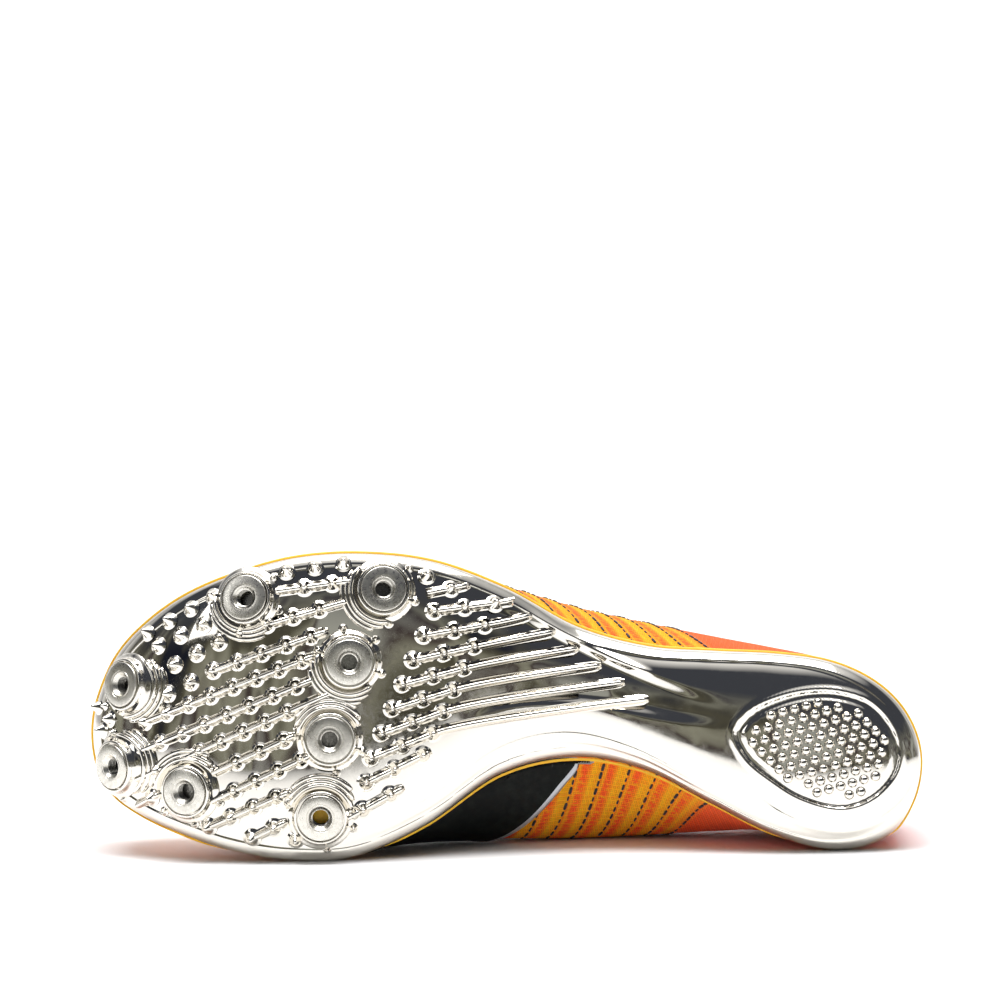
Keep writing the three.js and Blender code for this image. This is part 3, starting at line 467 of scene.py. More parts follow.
LAID = Matrix.Translation(Vector(LAID_AT)) @ (
    Euler([math.radians(a) for a in LAID_ANGLES], "XYZ").to_matrix().to_4x4()
    @ Matrix(((-1, 0, 0, 0), (0, 0, 1, 0), (0, 1, 0, 0), (0, 0, 0, 1))))
LAID_ARRAY = np.array(LAID)


def to_world(points):
    """Shoe millimetres to the part's frame in metres."""
    points = np.asarray(points, float)
    return (points @ LAID_ARRAY[:3, :3].T + LAID_ARRAY[:3, 3]) * MM


# Shader groups and materials

NODE_SETTINGS = {"operation", "data_type", "uv_map"}


def add(tree, kind, links=None, **values):
    """A node with its properties, its sockets' values and its links set."""
    node = tree.nodes.new(kind)
    for key, value in values.items():
        if key in NODE_SETTINGS:
            setattr(node, key, value)
        else:
            node.inputs[socket_name(node, key)].default_value = value
    for key, source in (links or {}).items():
        tree.links.new(source, node.inputs[socket_name(node, key)])
    return node


def socket_name(node, key):
    """Index of an input from its name, or from a key such as i_1."""
    if key.startswith("i_"):
        return int(key[2:])
    wanted = key.replace("_", " ").lower()
    for i, socket in enumerate(node.inputs):
        if socket.name.lower() == wanted and socket.enabled:
            return i
    raise KeyError(f"{node.bl_idname} has no input {key}")


def calc(tree, operation, *terms):
    """Result of a math node on sockets and plain numbers."""
    sockets = {f"i_{i}": term for i, term in enumerate(terms) if isinstance(term, bpy.types.NodeSocket)}
    numbers = {f"i_{i}": term for i, term in enumerate(terms) if f"i_{i}" not in sockets}
    return add(tree, "ShaderNodeMath", sockets, operation=operation, **numbers).outputs[0]


def remap(tree, source, low, high, **more):
    """A value spread from low and high to 0 and 1."""
    return add(tree, "ShaderNodeMapRange", {"Value": source}, From_Min=low, From_Max=high, **more).outputs[0]


def noise(tree, coords, scale, **more):
    return add(tree, "ShaderNodeTexNoise", {"Vector": coords}, Scale=scale, **more).outputs[0]


def blend(tree, factor, *colors):
    """A mix of two colours, each a colour or a socket."""
    node = add(tree, "ShaderNodeMix", {"Factor": factor}, data_type="RGBA")
    for socket, color in zip((node.inputs[6], node.inputs[7]), colors):
        if isinstance(color, bpy.types.NodeSocket):
            tree.links.new(color, socket)
        else:
            socket.default_value = (*color, 1)
    return node.outputs[2]


def color_ramp(tree, source, stops):
    """Colours along a value."""
    node = tree.nodes.new("ShaderNodeValToRGB")
    elements = node.color_ramp.elements
    while len(elements) < len(stops):
        elements.new(0.5)
    for element, (place, color) in zip(elements, stops):
        element.position, element.color = place, (*color, 1)
    tree.links.new(source, node.inputs["Fac"])
    return node.outputs[0]


def uv_axes(tree, layer):
    """Both values of a UV map."""
    layer_map = add(tree, "ShaderNodeUVMap", uv_map=layer)
    split = add(tree, "ShaderNodeSeparateXYZ", {"Vector": layer_map.outputs[0]})
    return split.outputs["X"], split.outputs["Y"]


def object_coords(tree):
    return tree.nodes.new("ShaderNodeTexCoord").outputs["Object"]


def group(name, inputs, outputs, kind="ShaderNodeTree"):
    tree = bpy.data.node_groups.new(name, kind)
    for label, socket_type, default in inputs:
        socket = tree.interface.new_socket(label, in_out="INPUT", socket_type=socket_type)
        if default is not None:
            socket.default_value = default
    for label, socket_type in outputs:
        tree.interface.new_socket(label, in_out="OUTPUT", socket_type=socket_type)
    return tree, tree.nodes.new("NodeGroupInput"), tree.nodes.new("NodeGroupOutput")


def use(tree, name, links=None, **values):
    node = tree.nodes.new("ShaderNodeGroup")
    node.node_tree = bpy.data.node_groups[name]
    for key, value in values.items():
        node.inputs[key].default_value = value
    for key, source in (links or {}).items():
        tree.links.new(source, node.inputs[key])
    return node


def make_wear_group():
    """Faint wear: a mask of small marks, and the roughness it adds."""
    inputs = [("Vector", "NodeSocketVector", None), ("Scale", "NodeSocketFloat", 400.0),
              ("Amount", "NodeSocketFloat", 0.1)]
    outputs = [("Mask", "NodeSocketFloat"), ("Roughness", "NodeSocketFloat")]
    tree, given, result = group("SpikeShoeWear", inputs, outputs)
    broad = noise(tree, given.outputs["Vector"], 38.0, Detail=3.0)
    sources = {key: given.outputs[key] for key in ("Vector", "Scale")}
    fine = add(tree, "ShaderNodeTexNoise", sources, Detail=5.0, Roughness=0.62)
    mask = remap(tree, calc(tree, "MULTIPLY", broad, fine.outputs[0]), 0.2, 0.42)
    tree.links.new(mask, result.inputs["Mask"])
    tree.links.new(calc(tree, "MULTIPLY", mask, given.outputs["Amount"]), result.inputs["Roughness"])


def make_weave_group():
    """Woven threads from a UV laid out in threads: their height, and which way each crossing runs."""
    inputs = [("Along", "NodeSocketFloat", 0.0), ("Up", "NodeSocketFloat", 0.0)]
    outputs = [("Height", "NodeSocketFloat"), ("Weft", "NodeSocketFloat")]
    tree, given, result = group("SpikeShoeWeave", inputs, outputs)
    along, up = given.outputs["Along"], given.outputs["Up"]

    def wave(source, phase):
        sine = calc(tree, "SINE", calc(tree, "ADD", calc(tree, "MULTIPLY", source, math.tau), phase))
        return calc(tree, "MULTIPLY_ADD", sine, 0.5, 0.5)

    warp, weft = wave(along, 0.0), wave(up, 0.0)
    checks = [wave(calc(tree, "MULTIPLY", source, 0.5), 0.8) for source in (along, up)]
    over = remap(tree, calc(tree, "SUBTRACT", *checks), -0.4, 0.4)
    height = add(tree, "ShaderNodeMix", {"Factor": over, "A": weft, "B": warp}, data_type="FLOAT")
    tree.links.new(height.outputs[0], result.inputs["Height"])
    tree.links.new(over, result.inputs["Weft"])


def material(name, color=(0.5, 0.5, 0.5), roughness=0.5, metallic=0.0, **more):
    mat = bpy.data.materials.new(name)
    mat.use_nodes = True
    shader = mat.node_tree.nodes["Principled BSDF"]
    shader.inputs["Base Color"].default_value = (*color, 1)
    shader.inputs["Roughness"].default_value = roughness
    shader.inputs["Metallic"].default_value = metallic
    for key, value in more.items():
        shader.inputs[key.replace("_", " ")].default_value = value
    return mat, mat.node_tree, shader


def bump(tree, shader, height, strength, distance):
    node = add(tree, "ShaderNodeBump", {"Height": height}, Strength=strength, Distance=distance)
    tree.links.new(node.outputs[0], shader.inputs["Normal"])


def worn_roughness(tree, shader, wear, least):
    tree.links.new(calc(tree, "ADD", wear.outputs["Roughness"], least), shader.inputs["Roughness"])


PLATING_TINTS = [(0, (0.80, 0.765, 0.69)), (1, (0.90, 0.865, 0.80))]


def make_plating():
    """Bright plating with a faint ripple, small smudges and thin dust."""
    mat, tree, shader = material("spike_plating", metallic=1.0)
    coords = object_coords(tree)
    wear = use(tree, "SpikeShoeWear", {"Vector": coords}, Scale=520.0, Amount=0.10)
    worn_roughness(tree, shader, wear, 0.04)
    bump(tree, shader, noise(tree, coords, 55.0, Detail=1.5), 0.22, 0.0006)
    tint = color_ramp(tree, noise(tree, coords, 16.0, Detail=2.0), PLATING_TINTS)
    tree.links.new(tint, shader.inputs["Base Color"])
    return mat


def make_seat_metal():
    """Frosted seat metal with turning marks round each seat and a little grime."""
    mat, tree, shader = material("spike_seat_metal", metallic=1.0)
    _, along_profile = uv_axes(tree, "knit")
    bump(tree, shader, calc(tree, "SINE", calc(tree, "MULTIPLY", along_profile, 2600.0)), 0.08, 0.00003)
    wear = use(tree, "SpikeShoeWear", {"Vector": object_coords(tree)}, Scale=900.0, Amount=0.14)
    worn_roughness(tree, shader, wear, 0.25)
    tint = blend(tree, wear.outputs["Mask"], (0.80, 0.77, 0.70), (0.62, 0.60, 0.54))
    tree.links.new(tint, shader.inputs["Base Color"])
    return mat


def make_bore_shade():
    """Painted shade for the inside of a threaded bore: a dark colour all over, with random darker grime
    marks.
    """
    mat, tree, shader = material("spike_bore_painted_shade", metallic=1.0)
    wear = use(tree, "SpikeShoeWear", {"Vector": object_coords(tree)}, Scale=1200.0, Amount=0.3)
    worn_roughness(tree, shader, wear, 0.2)
    # Painted shade: the bore is coloured dark all over, and the noise mask adds random darker grime marks
    tint = blend(tree, wear.outputs["Mask"], (0.30, 0.29, 0.26), (0.12, 0.115, 0.10))
    tree.links.new(tint, shader.inputs["Base Color"])
    return mat


def make_foam():
    """Yellow foam edge: closed cells, faint mould speckle and slightly darker low spots."""
    mat, tree, shader = material("spike_foam", roughness=0.55, Subsurface_Weight=0.08, Subsurface_Scale=0.002)
    coords = object_coords(tree)
    cells = add(tree, "ShaderNodeTexVoronoi", {"Vector": coords}, Scale=1400.0)
    bump(tree, shader, cells.outputs[0], 0.25, 0.00008)
    wear = use(tree, "SpikeShoeWear", {"Vector": coords}, Scale=300.0, Amount=0.2)
    tint = blend(tree, wear.outputs["Mask"], (0.93, 0.54, 0.02), (0.85, 0.44, 0.015))
    tree.links.new(tint, shader.inputs["Base Color"])
    return mat


# Knit bands, in millimetres along the shoe: their pitch, start and slant, and where the plain mesh ends
KNIT_PITCH = 8.4
KNIT_PHASE = 2.0
KNIT_SLANT = 0.58
MESH_FROM = 66.0
STITCH_PITCH = 3.05
STITCH_OFF_FLOOR = 0.7
THREADS_PER_MM = 1.3
KNIT_BAND = [(0.0, (1.0, 0.42, 0.01)), (0.16, (1.0, 0.47, 0.015)), (0.27, (1.0, 0.24, 0.012)),
             (0.42, (1.0, 0.11, 0.02)), (0.56, (1.0, 0.13, 0.015)), (0.66, (1.0, 0.40, 0.012)),
             (0.74, (1.0, 0.2, 0.012)), (0.84, (1.0, 0.45, 0.015)), (1.0, (1.0, 0.38, 0.01))]
KNIT_WEFT, KNIT_MESH = (1.0, 0.34, 0.012), (1.0, 0.12, 0.025)


def make_knit():
    """Knit in yellow, orange and coral bands with weft lines, and plain coral mesh round the heel."""
    mat, tree, shader = material("spike_knit", roughness=0.8, Sheen_Weight=0.05, Specular_IOR_Level=0.2)
    along, up = [calc(tree, "MULTIPLY", axis, UV_UNIT) for axis in uv_axes(tree, "knit")]
    wobble = noise(tree, object_coords(tree), 60.0, Detail=2.0)
    shifted = calc(tree, "ADD", calc(tree, "MULTIPLY_ADD", wobble, 1.2, along), -KNIT_PHASE - 0.6)
    bands = color_ramp(tree, calc(tree, "FRACT", calc(tree, "DIVIDE", shifted, KNIT_PITCH)), KNIT_BAND)
    streak_place = add(tree, "ShaderNodeCombineXYZ",
                       {"X": calc(tree, "MULTIPLY", along, 0.35), "Y": calc(tree, "MULTIPLY", up, 1.5)})
    streaks = noise(tree, streak_place.outputs[0], 1.0, Detail=2.0, Roughness=0.7)
    bands = blend(tree, remap(tree, streaks, 0.5, 0.64), bands, KNIT_WEFT)
    cloth = blend(tree, remap(tree, along, MESH_FROM - 1, MESH_FROM + 5), KNIT_MESH, bands)
    threads = [calc(tree, "MULTIPLY", axis, UV_UNIT * THREADS_PER_MM) for axis in uv_axes(tree, "weave")]
    weave = use(tree, "SpikeShoeWeave", dict(zip(("Along", "Up"), threads)))
    shade = remap(tree, weave.outputs["Height"], 0.0, 1.0, To_Min=0.78, To_Max=1.1)
    tinted = add(tree, "ShaderNodeVectorMath", {"i_0": cloth, "i_1": shade}, operation="MULTIPLY")
    tree.links.new(tinted.outputs[0], shader.inputs["Base Color"])
    bump(tree, shader, weave.outputs["Height"], 0.6, 0.00025)
    return mat


def make_woven(name, color, dark, pitch, strength=0.5):
    """Plain woven cloth in two shades of one colour."""
    mat, tree, shader = material(name, roughness=0.85, Sheen_Weight=0.2)
    threads = [calc(tree, "MULTIPLY", axis, UV_UNIT / pitch) for axis in uv_axes(tree, "knit")]
    weave = use(tree, "SpikeShoeWeave", dict(zip(("Along", "Up"), threads)))
    shade = blend(tree, weave.outputs["Height"], dark, color)
    wear = use(tree, "SpikeShoeWear", {"Vector": object_coords(tree)}, Scale=200.0, Amount=0.2)
    tree.links.new(blend(tree, wear.outputs["Roughness"], shade, dark), shader.inputs["Base Color"])
    bump(tree, shader, weave.outputs["Height"], strength, 0.0003)
    return mat


SILVER_WIDTH = 1.25


def make_panel_film():
    """Black film with a fine leather grain, and the silver-grey line along its heel edge."""
    mat, tree, shader = material("spike_panel_film", Specular_IOR_Level=0.12)
    from_edge, _ = uv_axes(tree, "knit")
    line = calc(tree, "LESS_THAN", from_edge, SILVER_WIDTH / UV_UNIT)
    coords = object_coords(tree)
    grain = add(tree, "ShaderNodeTexVoronoi", {"Vector": coords}, Scale=1500.0)
    bump(tree, shader, grain.outputs[0], 0.2, 0.0001)
    wear = use(tree, "SpikeShoeWear", {"Vector": coords}, Scale=350.0, Amount=0.3)
    black = blend(tree, wear.outputs["Mask"], (0.003, 0.004, 0.004), (0.010, 0.012, 0.010))
    tree.links.new(blend(tree, line, black, (0.46, 0.47, 0.5)), shader.inputs["Base Color"])
    tree.links.new(remap(tree, line, 0.0, 1.0, To_Min=0.5, To_Max=0.28), shader.inputs["Roughness"])
    tree.links.new(calc(tree, "MULTIPLY", line, 0.7), shader.inputs["Metallic"])
    return mat


def make_thread():
    """Twisted black sewing thread."""
    mat, tree, shader = material("spike_thread", (0.012, 0.01, 0.012), 0.6, Sheen_Weight=0.2)
    twist = add(tree, "ShaderNodeTexWave", {"Vector": object_coords(tree)}, Scale=900.0, Distortion=1.0)
    bump(tree, shader, twist.outputs[0], 0.4, 0.0001)
    return mat


def make_floor():
    """Pale studio paper with a faint tooth."""
    mat, tree, shader = material("studio_paper", roughness=0.55)
    coords = object_coords(tree)
    bump(tree, shader, noise(tree, coords, 900.0, Detail=3.0), 0.05, 0.0001)
    tint = blend(tree, noise(tree, coords, 3.0, Detail=2.0), (0.85, 0.85, 0.86), (0.87, 0.87, 0.875))
    tree.links.new(tint, shader.inputs["Base Color"])
    return mat


# Meshes

def linked(name, data):
    obj = bpy.data.objects.new(name, data)
    bpy.context.scene.collection.objects.link(obj)
    return obj


def mesh_object(name, points, faces, mat, uv=None):
    """A mesh object from shoe-frame points; uv holds one pair a point, in millimetres."""
    mesh = bpy.data.meshes.new(name)
    mesh.from_pydata(to_world(points).tolist(), [], [tuple(int(i) for i in face) for face in faces])
    if uv is not None:
        layer = mesh.uv_layers.new(name="knit")
        index = np.empty(len(mesh.loops), int)
        mesh.loops.foreach_get("vertex_index", index)
        layer.data.foreach_set("uv", (np.asarray(uv, float)[index] / UV_UNIT).ravel())
    mesh.polygons.foreach_set("use_smooth", [True] * len(mesh.polygons))
    mesh.materials.append(mat)
    return linked(name, mesh)


def tidy_mesh(obj, weld=0.01, sharp=None):
    """Welds, turns the normals outwards and marks edges over an angle as sharp."""
    bm = bmesh.new()
    bm.from_mesh(obj.data)
    bmesh.ops.remove_doubles(bm, verts=bm.verts, dist=weld * MM)
    bmesh.ops.dissolve_degenerate(bm, edges=bm.edges, dist=0.001 * MM)
    bmesh.ops.recalc_face_normals(bm, faces=bm.faces)
    if sharp:
        for edge in bm.edges:
            if len(edge.link_faces) == 2 and edge.calc_face_angle(0) > math.radians(sharp):
                edge.smooth = False
    bm.to_mesh(obj.data)
    bm.free()
    return obj


def grid_faces(rows, cols, wrap_cols=False, offset=0):
    r = np.arange(rows - 1)[:, None] * cols
    c = np.arange(cols if wrap_cols else cols - 1)[None, :]
    n = (c + 1) % cols
    return stack(r + c, r + n, r + cols + n, r + cols + c).reshape(-1, 4) + offset


def wall_object(name, outer, inner, mat, uv, wrap=False):
    """A closed wall between an outer and an inner grid of points."""
    rows, cols = outer.shape[:2]
    count = rows * cols
    first = grid_faces(rows, cols, wrap)
    faces = [first, first[:, ::-1] + count]
    index = np.arange(count).reshape(rows, cols)
    rims = [index[0], index[-1]]
    if not wrap:
        rims += [index[:, 0], index[:, -1]]
    for rim in rims:
        following = np.roll(rim, -1) if wrap else rim[1:]
        own = rim if wrap else rim[:-1]
        faces.append(stack(own, following, following + count, own + count))
    points = np.concatenate([outer.reshape(-1, 3), inner.reshape(-1, 3)])
    uv = np.asarray(uv, float).reshape(-1, 2)
    return mesh_object(name, points, np.concatenate(faces), mat, np.concatenate([uv, uv]))


def lathe_object(name, profile, frames, mat, sides=40, sharp=35):
    """Turned forms with one profile of radius and height, at several frames.

    A profile that starts and ends on the axis is closed there, and any other one is closed as a ring.
    """
    profile = np.asarray(profile, float)
    is_ring = profile[:, 0].min() > 0
    angle = np.arange(sides) * math.tau / sides
    radius, height = profile[:, 0, None], profile[:, 1, None]
    local = stack(radius * np.cos(angle), radius * np.sin(angle), height + 0 * angle)
    rows = np.concatenate([local, local[:1]]) if is_ring else local
    length = run_of(profile)
    if is_ring:
        length = np.append(length, length[-1] + np.linalg.norm(profile[0] - profile[-1]))
    uv_one = stack(angle * 5 + 0 * length[:, None], length[:, None] + 0 * angle).reshape(-1, 2)
    points, faces, uvs = [], [], []
    for origin, ahead, side, up in frames:
        base = sum(len(p) for p in points)
        points.append((rows.reshape(-1, 3) @ np.stack([ahead, side, up])) + origin)
        faces.append(grid_faces(len(rows), sides, True, base))
        uvs.append(uv_one)
    obj = mesh_object(name, np.concatenate(points), np.concatenate(faces), mat, np.concatenate(uvs))
    return tidy_mesh(obj, weld=0.005, sharp=sharp)


def frame_parts(x, y, lift=0.0):
    """Origins and three directions on the plate's underside, with the last one out of the sole."""
    x, y = np.atleast_1d(np.asarray(x, float)), np.atleast_1d(np.asarray(y, float))
    up = face_normal(x, y)
    up = np.where((up[..., 2:] > 0), -up, up)
    ahead = unit(np.array([1.0, 0, 0]) - up * up[..., :1])
    return face_point(x, y, False) + up * lift, ahead, np.cross(up, ahead), up


def face_frames(x, y):
    return list(zip(*frame_parts(x, y)))


def run_of(line):
    """Lengths along a line of points, from its start."""
    return np.concatenate([[0], np.cumsum(np.linalg.norm(np.diff(line, axis=0), axis=1))])


def rows_at(at, run, rows):
    """Rows between the given ones, at lengths along their run."""
    return stack(*[np.interp(at, run, column) for column in rows.T])


def resample(line, step):
    run = run_of(line)
    return rows_at(np.linspace(0, run[-1], max(int(run[-1] / step), 2) + 1), run, line)


def smooth_line(line, rounds):
    line = line.copy()
    for _ in range(rounds):
        line[1:-1] = (line[:-2] + 2 * line[1:-1] + line[2:]) / 4
    return line


def swept_object(name, paths, mat, sharp=50):
    """Bars of changing section: each path holds points, sides, ups and sections of one count."""
    points, faces, uvs = [], [], []
    for centre, side, up, section in paths:
        base = sum(len(p) for p in points)
        ring = centre[:, None] + side[:, None] * section[..., :1] + up[:, None] * section[..., 1:]
        rows, cols = ring.shape[:2]
        points.append(ring.reshape(-1, 3))
        faces += grid_faces(rows, cols, True, base).tolist()
        faces.append(list(range(base, base + cols)))
        faces.append(list(range(base + (rows - 1) * cols, base + rows * cols))[::-1])
        run = run_of(centre)
        width = np.linspace(0, 1, cols) * 12
        uvs.append(stack(run[:, None] + 0 * width, width[None] + 0 * run[:, None]).reshape(-1, 2))
    obj = mesh_object(name, np.concatenate(points), faces, mat, np.concatenate(uvs))
    return tidy_mesh(obj, weld=0.005, sharp=sharp)


REPEAT_SEED = 3


def repeat_group():
    """Geometry Nodes: one form on every point, turned to the point's own directions and sized by it."""
    inputs = [("Geometry", "NodeSocketGeometry", None), ("Form", "NodeSocketObject", None),
              ("Size", "NodeSocketFloat", 1.0), ("Unevenness", "NodeSocketFloat", 0.0),
              ("Seed", "NodeSocketInt", REPEAT_SEED), ("Material", "NodeSocketMaterial", None)]
    outputs = [("Geometry", "NodeSocketGeometry")]
    tree, given, result = group("SpikeShoeRepeat", inputs, outputs, "GeometryNodeTree")
    form = add(tree, "GeometryNodeObjectInfo", {"Object": given.outputs["Form"]})

    def attribute(name):
        node = tree.nodes.new("GeometryNodeInputNamedAttribute")
        node.data_type = "FLOAT_VECTOR"
        node.inputs["Name"].default_value = name
        return node.outputs["Attribute"]

    stand = tree.nodes.new("FunctionNodeAlignRotationToVector")
    stand.axis = "Z"
    tree.links.new(attribute("out"), stand.inputs["Vector"])
    turned = tree.nodes.new("FunctionNodeAlignRotationToVector")
    turned.axis, turned.pivot_axis = "X", "Z"
    tree.links.new(stand.outputs[0], turned.inputs["Rotation"])
    tree.links.new(attribute("ahead"), turned.inputs["Vector"])
    varied = tree.nodes.new("FunctionNodeRandomValue")
    varied.data_type = "FLOAT"
    tree.links.new(given.outputs["Seed"], varied.inputs["Seed"])
    for name, operation in (("Min", "SUBTRACT"), ("Max", "ADD")):
        limit = calc(tree, operation, 1.0, given.outputs["Unevenness"])
        tree.links.new(limit, varied.inputs[socket_name(varied, name)])
    value = [socket for socket in varied.outputs if socket.enabled][0]
    size = calc(tree, "MULTIPLY", value, given.outputs["Size"])
    scale = add(tree, "ShaderNodeVectorMath", {"i_0": attribute("size"), "i_1": size}, operation="MULTIPLY")
    placed = tree.nodes.new("GeometryNodeInstanceOnPoints")
    for key, source in (("Points", given.outputs["Geometry"]), ("Instance", form.outputs["Geometry"]),
                        ("Rotation", turned.outputs[0]), ("Scale", scale.outputs[0])):
        tree.links.new(source, placed.inputs[key])
    real = add(tree, "GeometryNodeRealizeInstances", {"Geometry": placed.outputs[0]})
    painted = add(tree, "GeometryNodeSetMaterial",
                  {"Geometry": real.outputs[0], "Material": given.outputs["Material"]})
    tree.links.new(painted.outputs[0], result.inputs["Geometry"])
    return tree


def repeated(name, form, origins, outs, aheads, sizes, mat, size=1.0, unevenness=0.0):
    """Copies of a form at shoe-frame places, made by the repeating group and then kept as plain mesh."""
    tree = bpy.data.node_groups.get("SpikeShoeRepeat") or repeat_group()
    turn = LAID_ARRAY[:3, :3].T
    mesh = bpy.data.meshes.new(name + "_points")
    mesh.from_pydata(to_world(origins).tolist(), [], [])
    sizes = np.broadcast_to(np.asarray(sizes, float).reshape(-1, 1), (len(origins), 3))
    directions = ("out", np.asarray(outs) @ turn), ("ahead", np.asarray(aheads) @ turn)
    for key, values in (*directions, ("size", sizes)):
        layer = mesh.attributes.new(key, "FLOAT_VECTOR", "POINT")
        layer.data.foreach_set("vector", np.ascontiguousarray(values, float).ravel())
    points = linked(name + "_points", mesh)
    modifier = points.modifiers.new("Repeat", "NODES")
    modifier.node_group = tree
    sockets = {item.name: item.identifier for item in tree.interface.items_tree if item.in_out == "INPUT"}
    for key, value in (("Form", form), ("Size", size), ("Unevenness", unevenness),
                       ("Seed", REPEAT_SEED), ("Material", mat)):
        modifier[sockets[key]] = value
    bpy.context.view_layer.update()
    kept = bpy.data.meshes.new_from_object(points.evaluated_get(bpy.context.evaluated_depsgraph_get()))
    points.modifiers.remove(modifier)
    kept.name = name
    kept.polygons.foreach_set("use_smooth", [True] * len(kept.polygons))
    obj = linked(name, kept)
    bpy.data.objects.remove(points)
    bpy.data.objects.remove(form)
    return obj


def turned_form(name, profile, sides, mat):
    """A small turned form at the origin in metres, for repeating."""
    profile = np.asarray(profile, float) * MM
    angle = np.arange(sides) * math.tau / sides
    radius, height = profile[:, 0, None], profile[:, 1, None]
    rows = stack(radius * np.cos(angle), radius * np.sin(angle), height + 0 * angle)
    mesh = bpy.data.meshes.new(name)
    mesh.from_pydata(rows.reshape(-1, 3).tolist(), [], grid_faces(len(profile), sides, True).tolist())
    mesh.materials.append(mat)
    obj = linked(name, mesh)
    return tidy_mesh(obj, weld=0.0005)


def dress(obj, node):
    """Puts a piece on the shoe: it rides the shoe and stands for its node, which it hides."""
    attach(obj, "root")
    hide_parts(node)
    return obj


MATERIALS = {}


def make_materials():
    make_wear_group()
    make_weave_group()
    # The bore material is painted shade for the inside of the threaded seats
    MATERIALS.update(
        plating=make_plating(), seat=make_seat_metal(), bore=make_bore_shade(), foam=make_foam(), knit=make_knit(),
        film=make_panel_film(), thread=make_thread(), floor=make_floor(),
        tongue=make_woven("spike_tongue_cloth", (0.85, 0.16, 0.07), (0.5, 0.06, 0.03), 0.9),
        bed=make_woven("spike_bed_cloth", (0.05, 0.05, 0.055), (0.015, 0.015, 0.017), 0.8),
        lace=make_woven("spike_lace_cloth", (0.9, 0.52, 0.08), (0.6, 0.28, 0.03), 0.75, 0.8),
        binding=make_woven("spike_binding", (0.85, 0.13, 0.05), (0.45, 0.05, 0.02), 0.6))


# Pieces

def finger_lines():
    """Ribs of the fan into the waist: tip, bow and studs of each, in plan millimetres."""
    lines = []
    for k in range(FINGERS):
        tip = np.array([LENGTH * (0.497 - 0.0283 * k), BALL_WIDTH * (0.45 - 0.052 * k)])
        studs = np.array([[LENGTH * (0.513 + 0.0115 * k + 0.036 * i),
                           BALL_WIDTH * (0.433 - 0.0707 * k + (-0.015 - 0.0045 * k) * i)] for i in range(3)])
        bow = 2 * studs[0] - studs[1]
        t = np.linspace(0, 1, 12)[:-1, None]
        curve = (1 - t) ** 2 * tip + 2 * t * (1 - t) * bow + t * t * studs[0]
        lines.append((np.concatenate([curve, studs]), studs))
    return lines


def tread_lines():
    """Ribs and studs of the other rows, in plan millimetres."""
    lines = []
    for along, across, step_along, step_across, count, has_rib, lead, tail in TREAD:
        def place(i):
            return np.array([LENGTH * (along + step_along * i), BALL_WIDTH * (across + step_across * i)])
        studs = np.array([place(i) for i in range(count)])
        rib = np.array([place(-lead), *studs, place(count - 1 + tail)]) if has_rib else None
        lines.append((rib, studs))
    return lines


# Turned and swept sections, as radius and height or across and height
RIB_SECTION = np.array([(-1.75, -0.35), (-1.2, 0.05), (-0.92, 0.55), (-0.62, 1.2), (-0.25, 1.48),
                        (0.25, 1.48), (0.62, 1.2), (0.92, 0.55), (1.2, 0.05), (1.75, -0.35)])
BOSS_PROFILE = [(10.6, -0.7), (9.9, 0.0), (9.3, 0.2), (8.9, 0.7), (8.65, 1.6), (8.45, 2.3), (8.25, 2.55),
                (7.95, 2.62), (7.75, 2.62), (7.65, 2.5), (7.6, 1.1), (4.95, 1.1), (4.95, -1.2)]
BEAD_PROFILE = [(0, 0.95), (0.5, 0.87), (0.95, 0.6), (1.25, 0.25), (1.45, 0.0), (1.6, -0.3)]
BEAD_STEPS = np.array([-3.75, 1.15]), np.array([-2.85, -2.75])
BEAD_MARGIN = 1.0
# Stepped arcs round a seat: radius, height and half angle
ARCS = ((10.3, 1.9, 74), (11.6, 1.3, 62), (12.9, 0.8, 48))
RIB_STEP = 1.6
RING_RADIUS, RING_STUD_SIZE = 10.9, 0.52
SEAT_CLEARANCE = 10.4
SKIN_HOLE = 6.2
SEATS = stack(SOCKETS["along"] * LENGTH, SOCKETS["across"] * BALL_WIDTH)


def build_plate(props):
    fingers, rows = finger_lines(), tread_lines()
    plate_skin(props)
    loose = np.array(LOOSE_STUDS) * (LENGTH, BALL_WIDTH)
    plate_studs(props, np.concatenate([studs for _, studs in fingers + rows] + [loose]))
    plate_ribs([rib for rib, _ in fingers] + [rib for rib, _ in rows if rib is not None])
    bosses = lathe_object("plate_bosses", BOSS_PROFILE, face_frames(*SEATS.T), MATERIALS["plating"], 56, 70)
    dress(bosses, "spike_plate")
    plate_arcs()
    heel_beads()


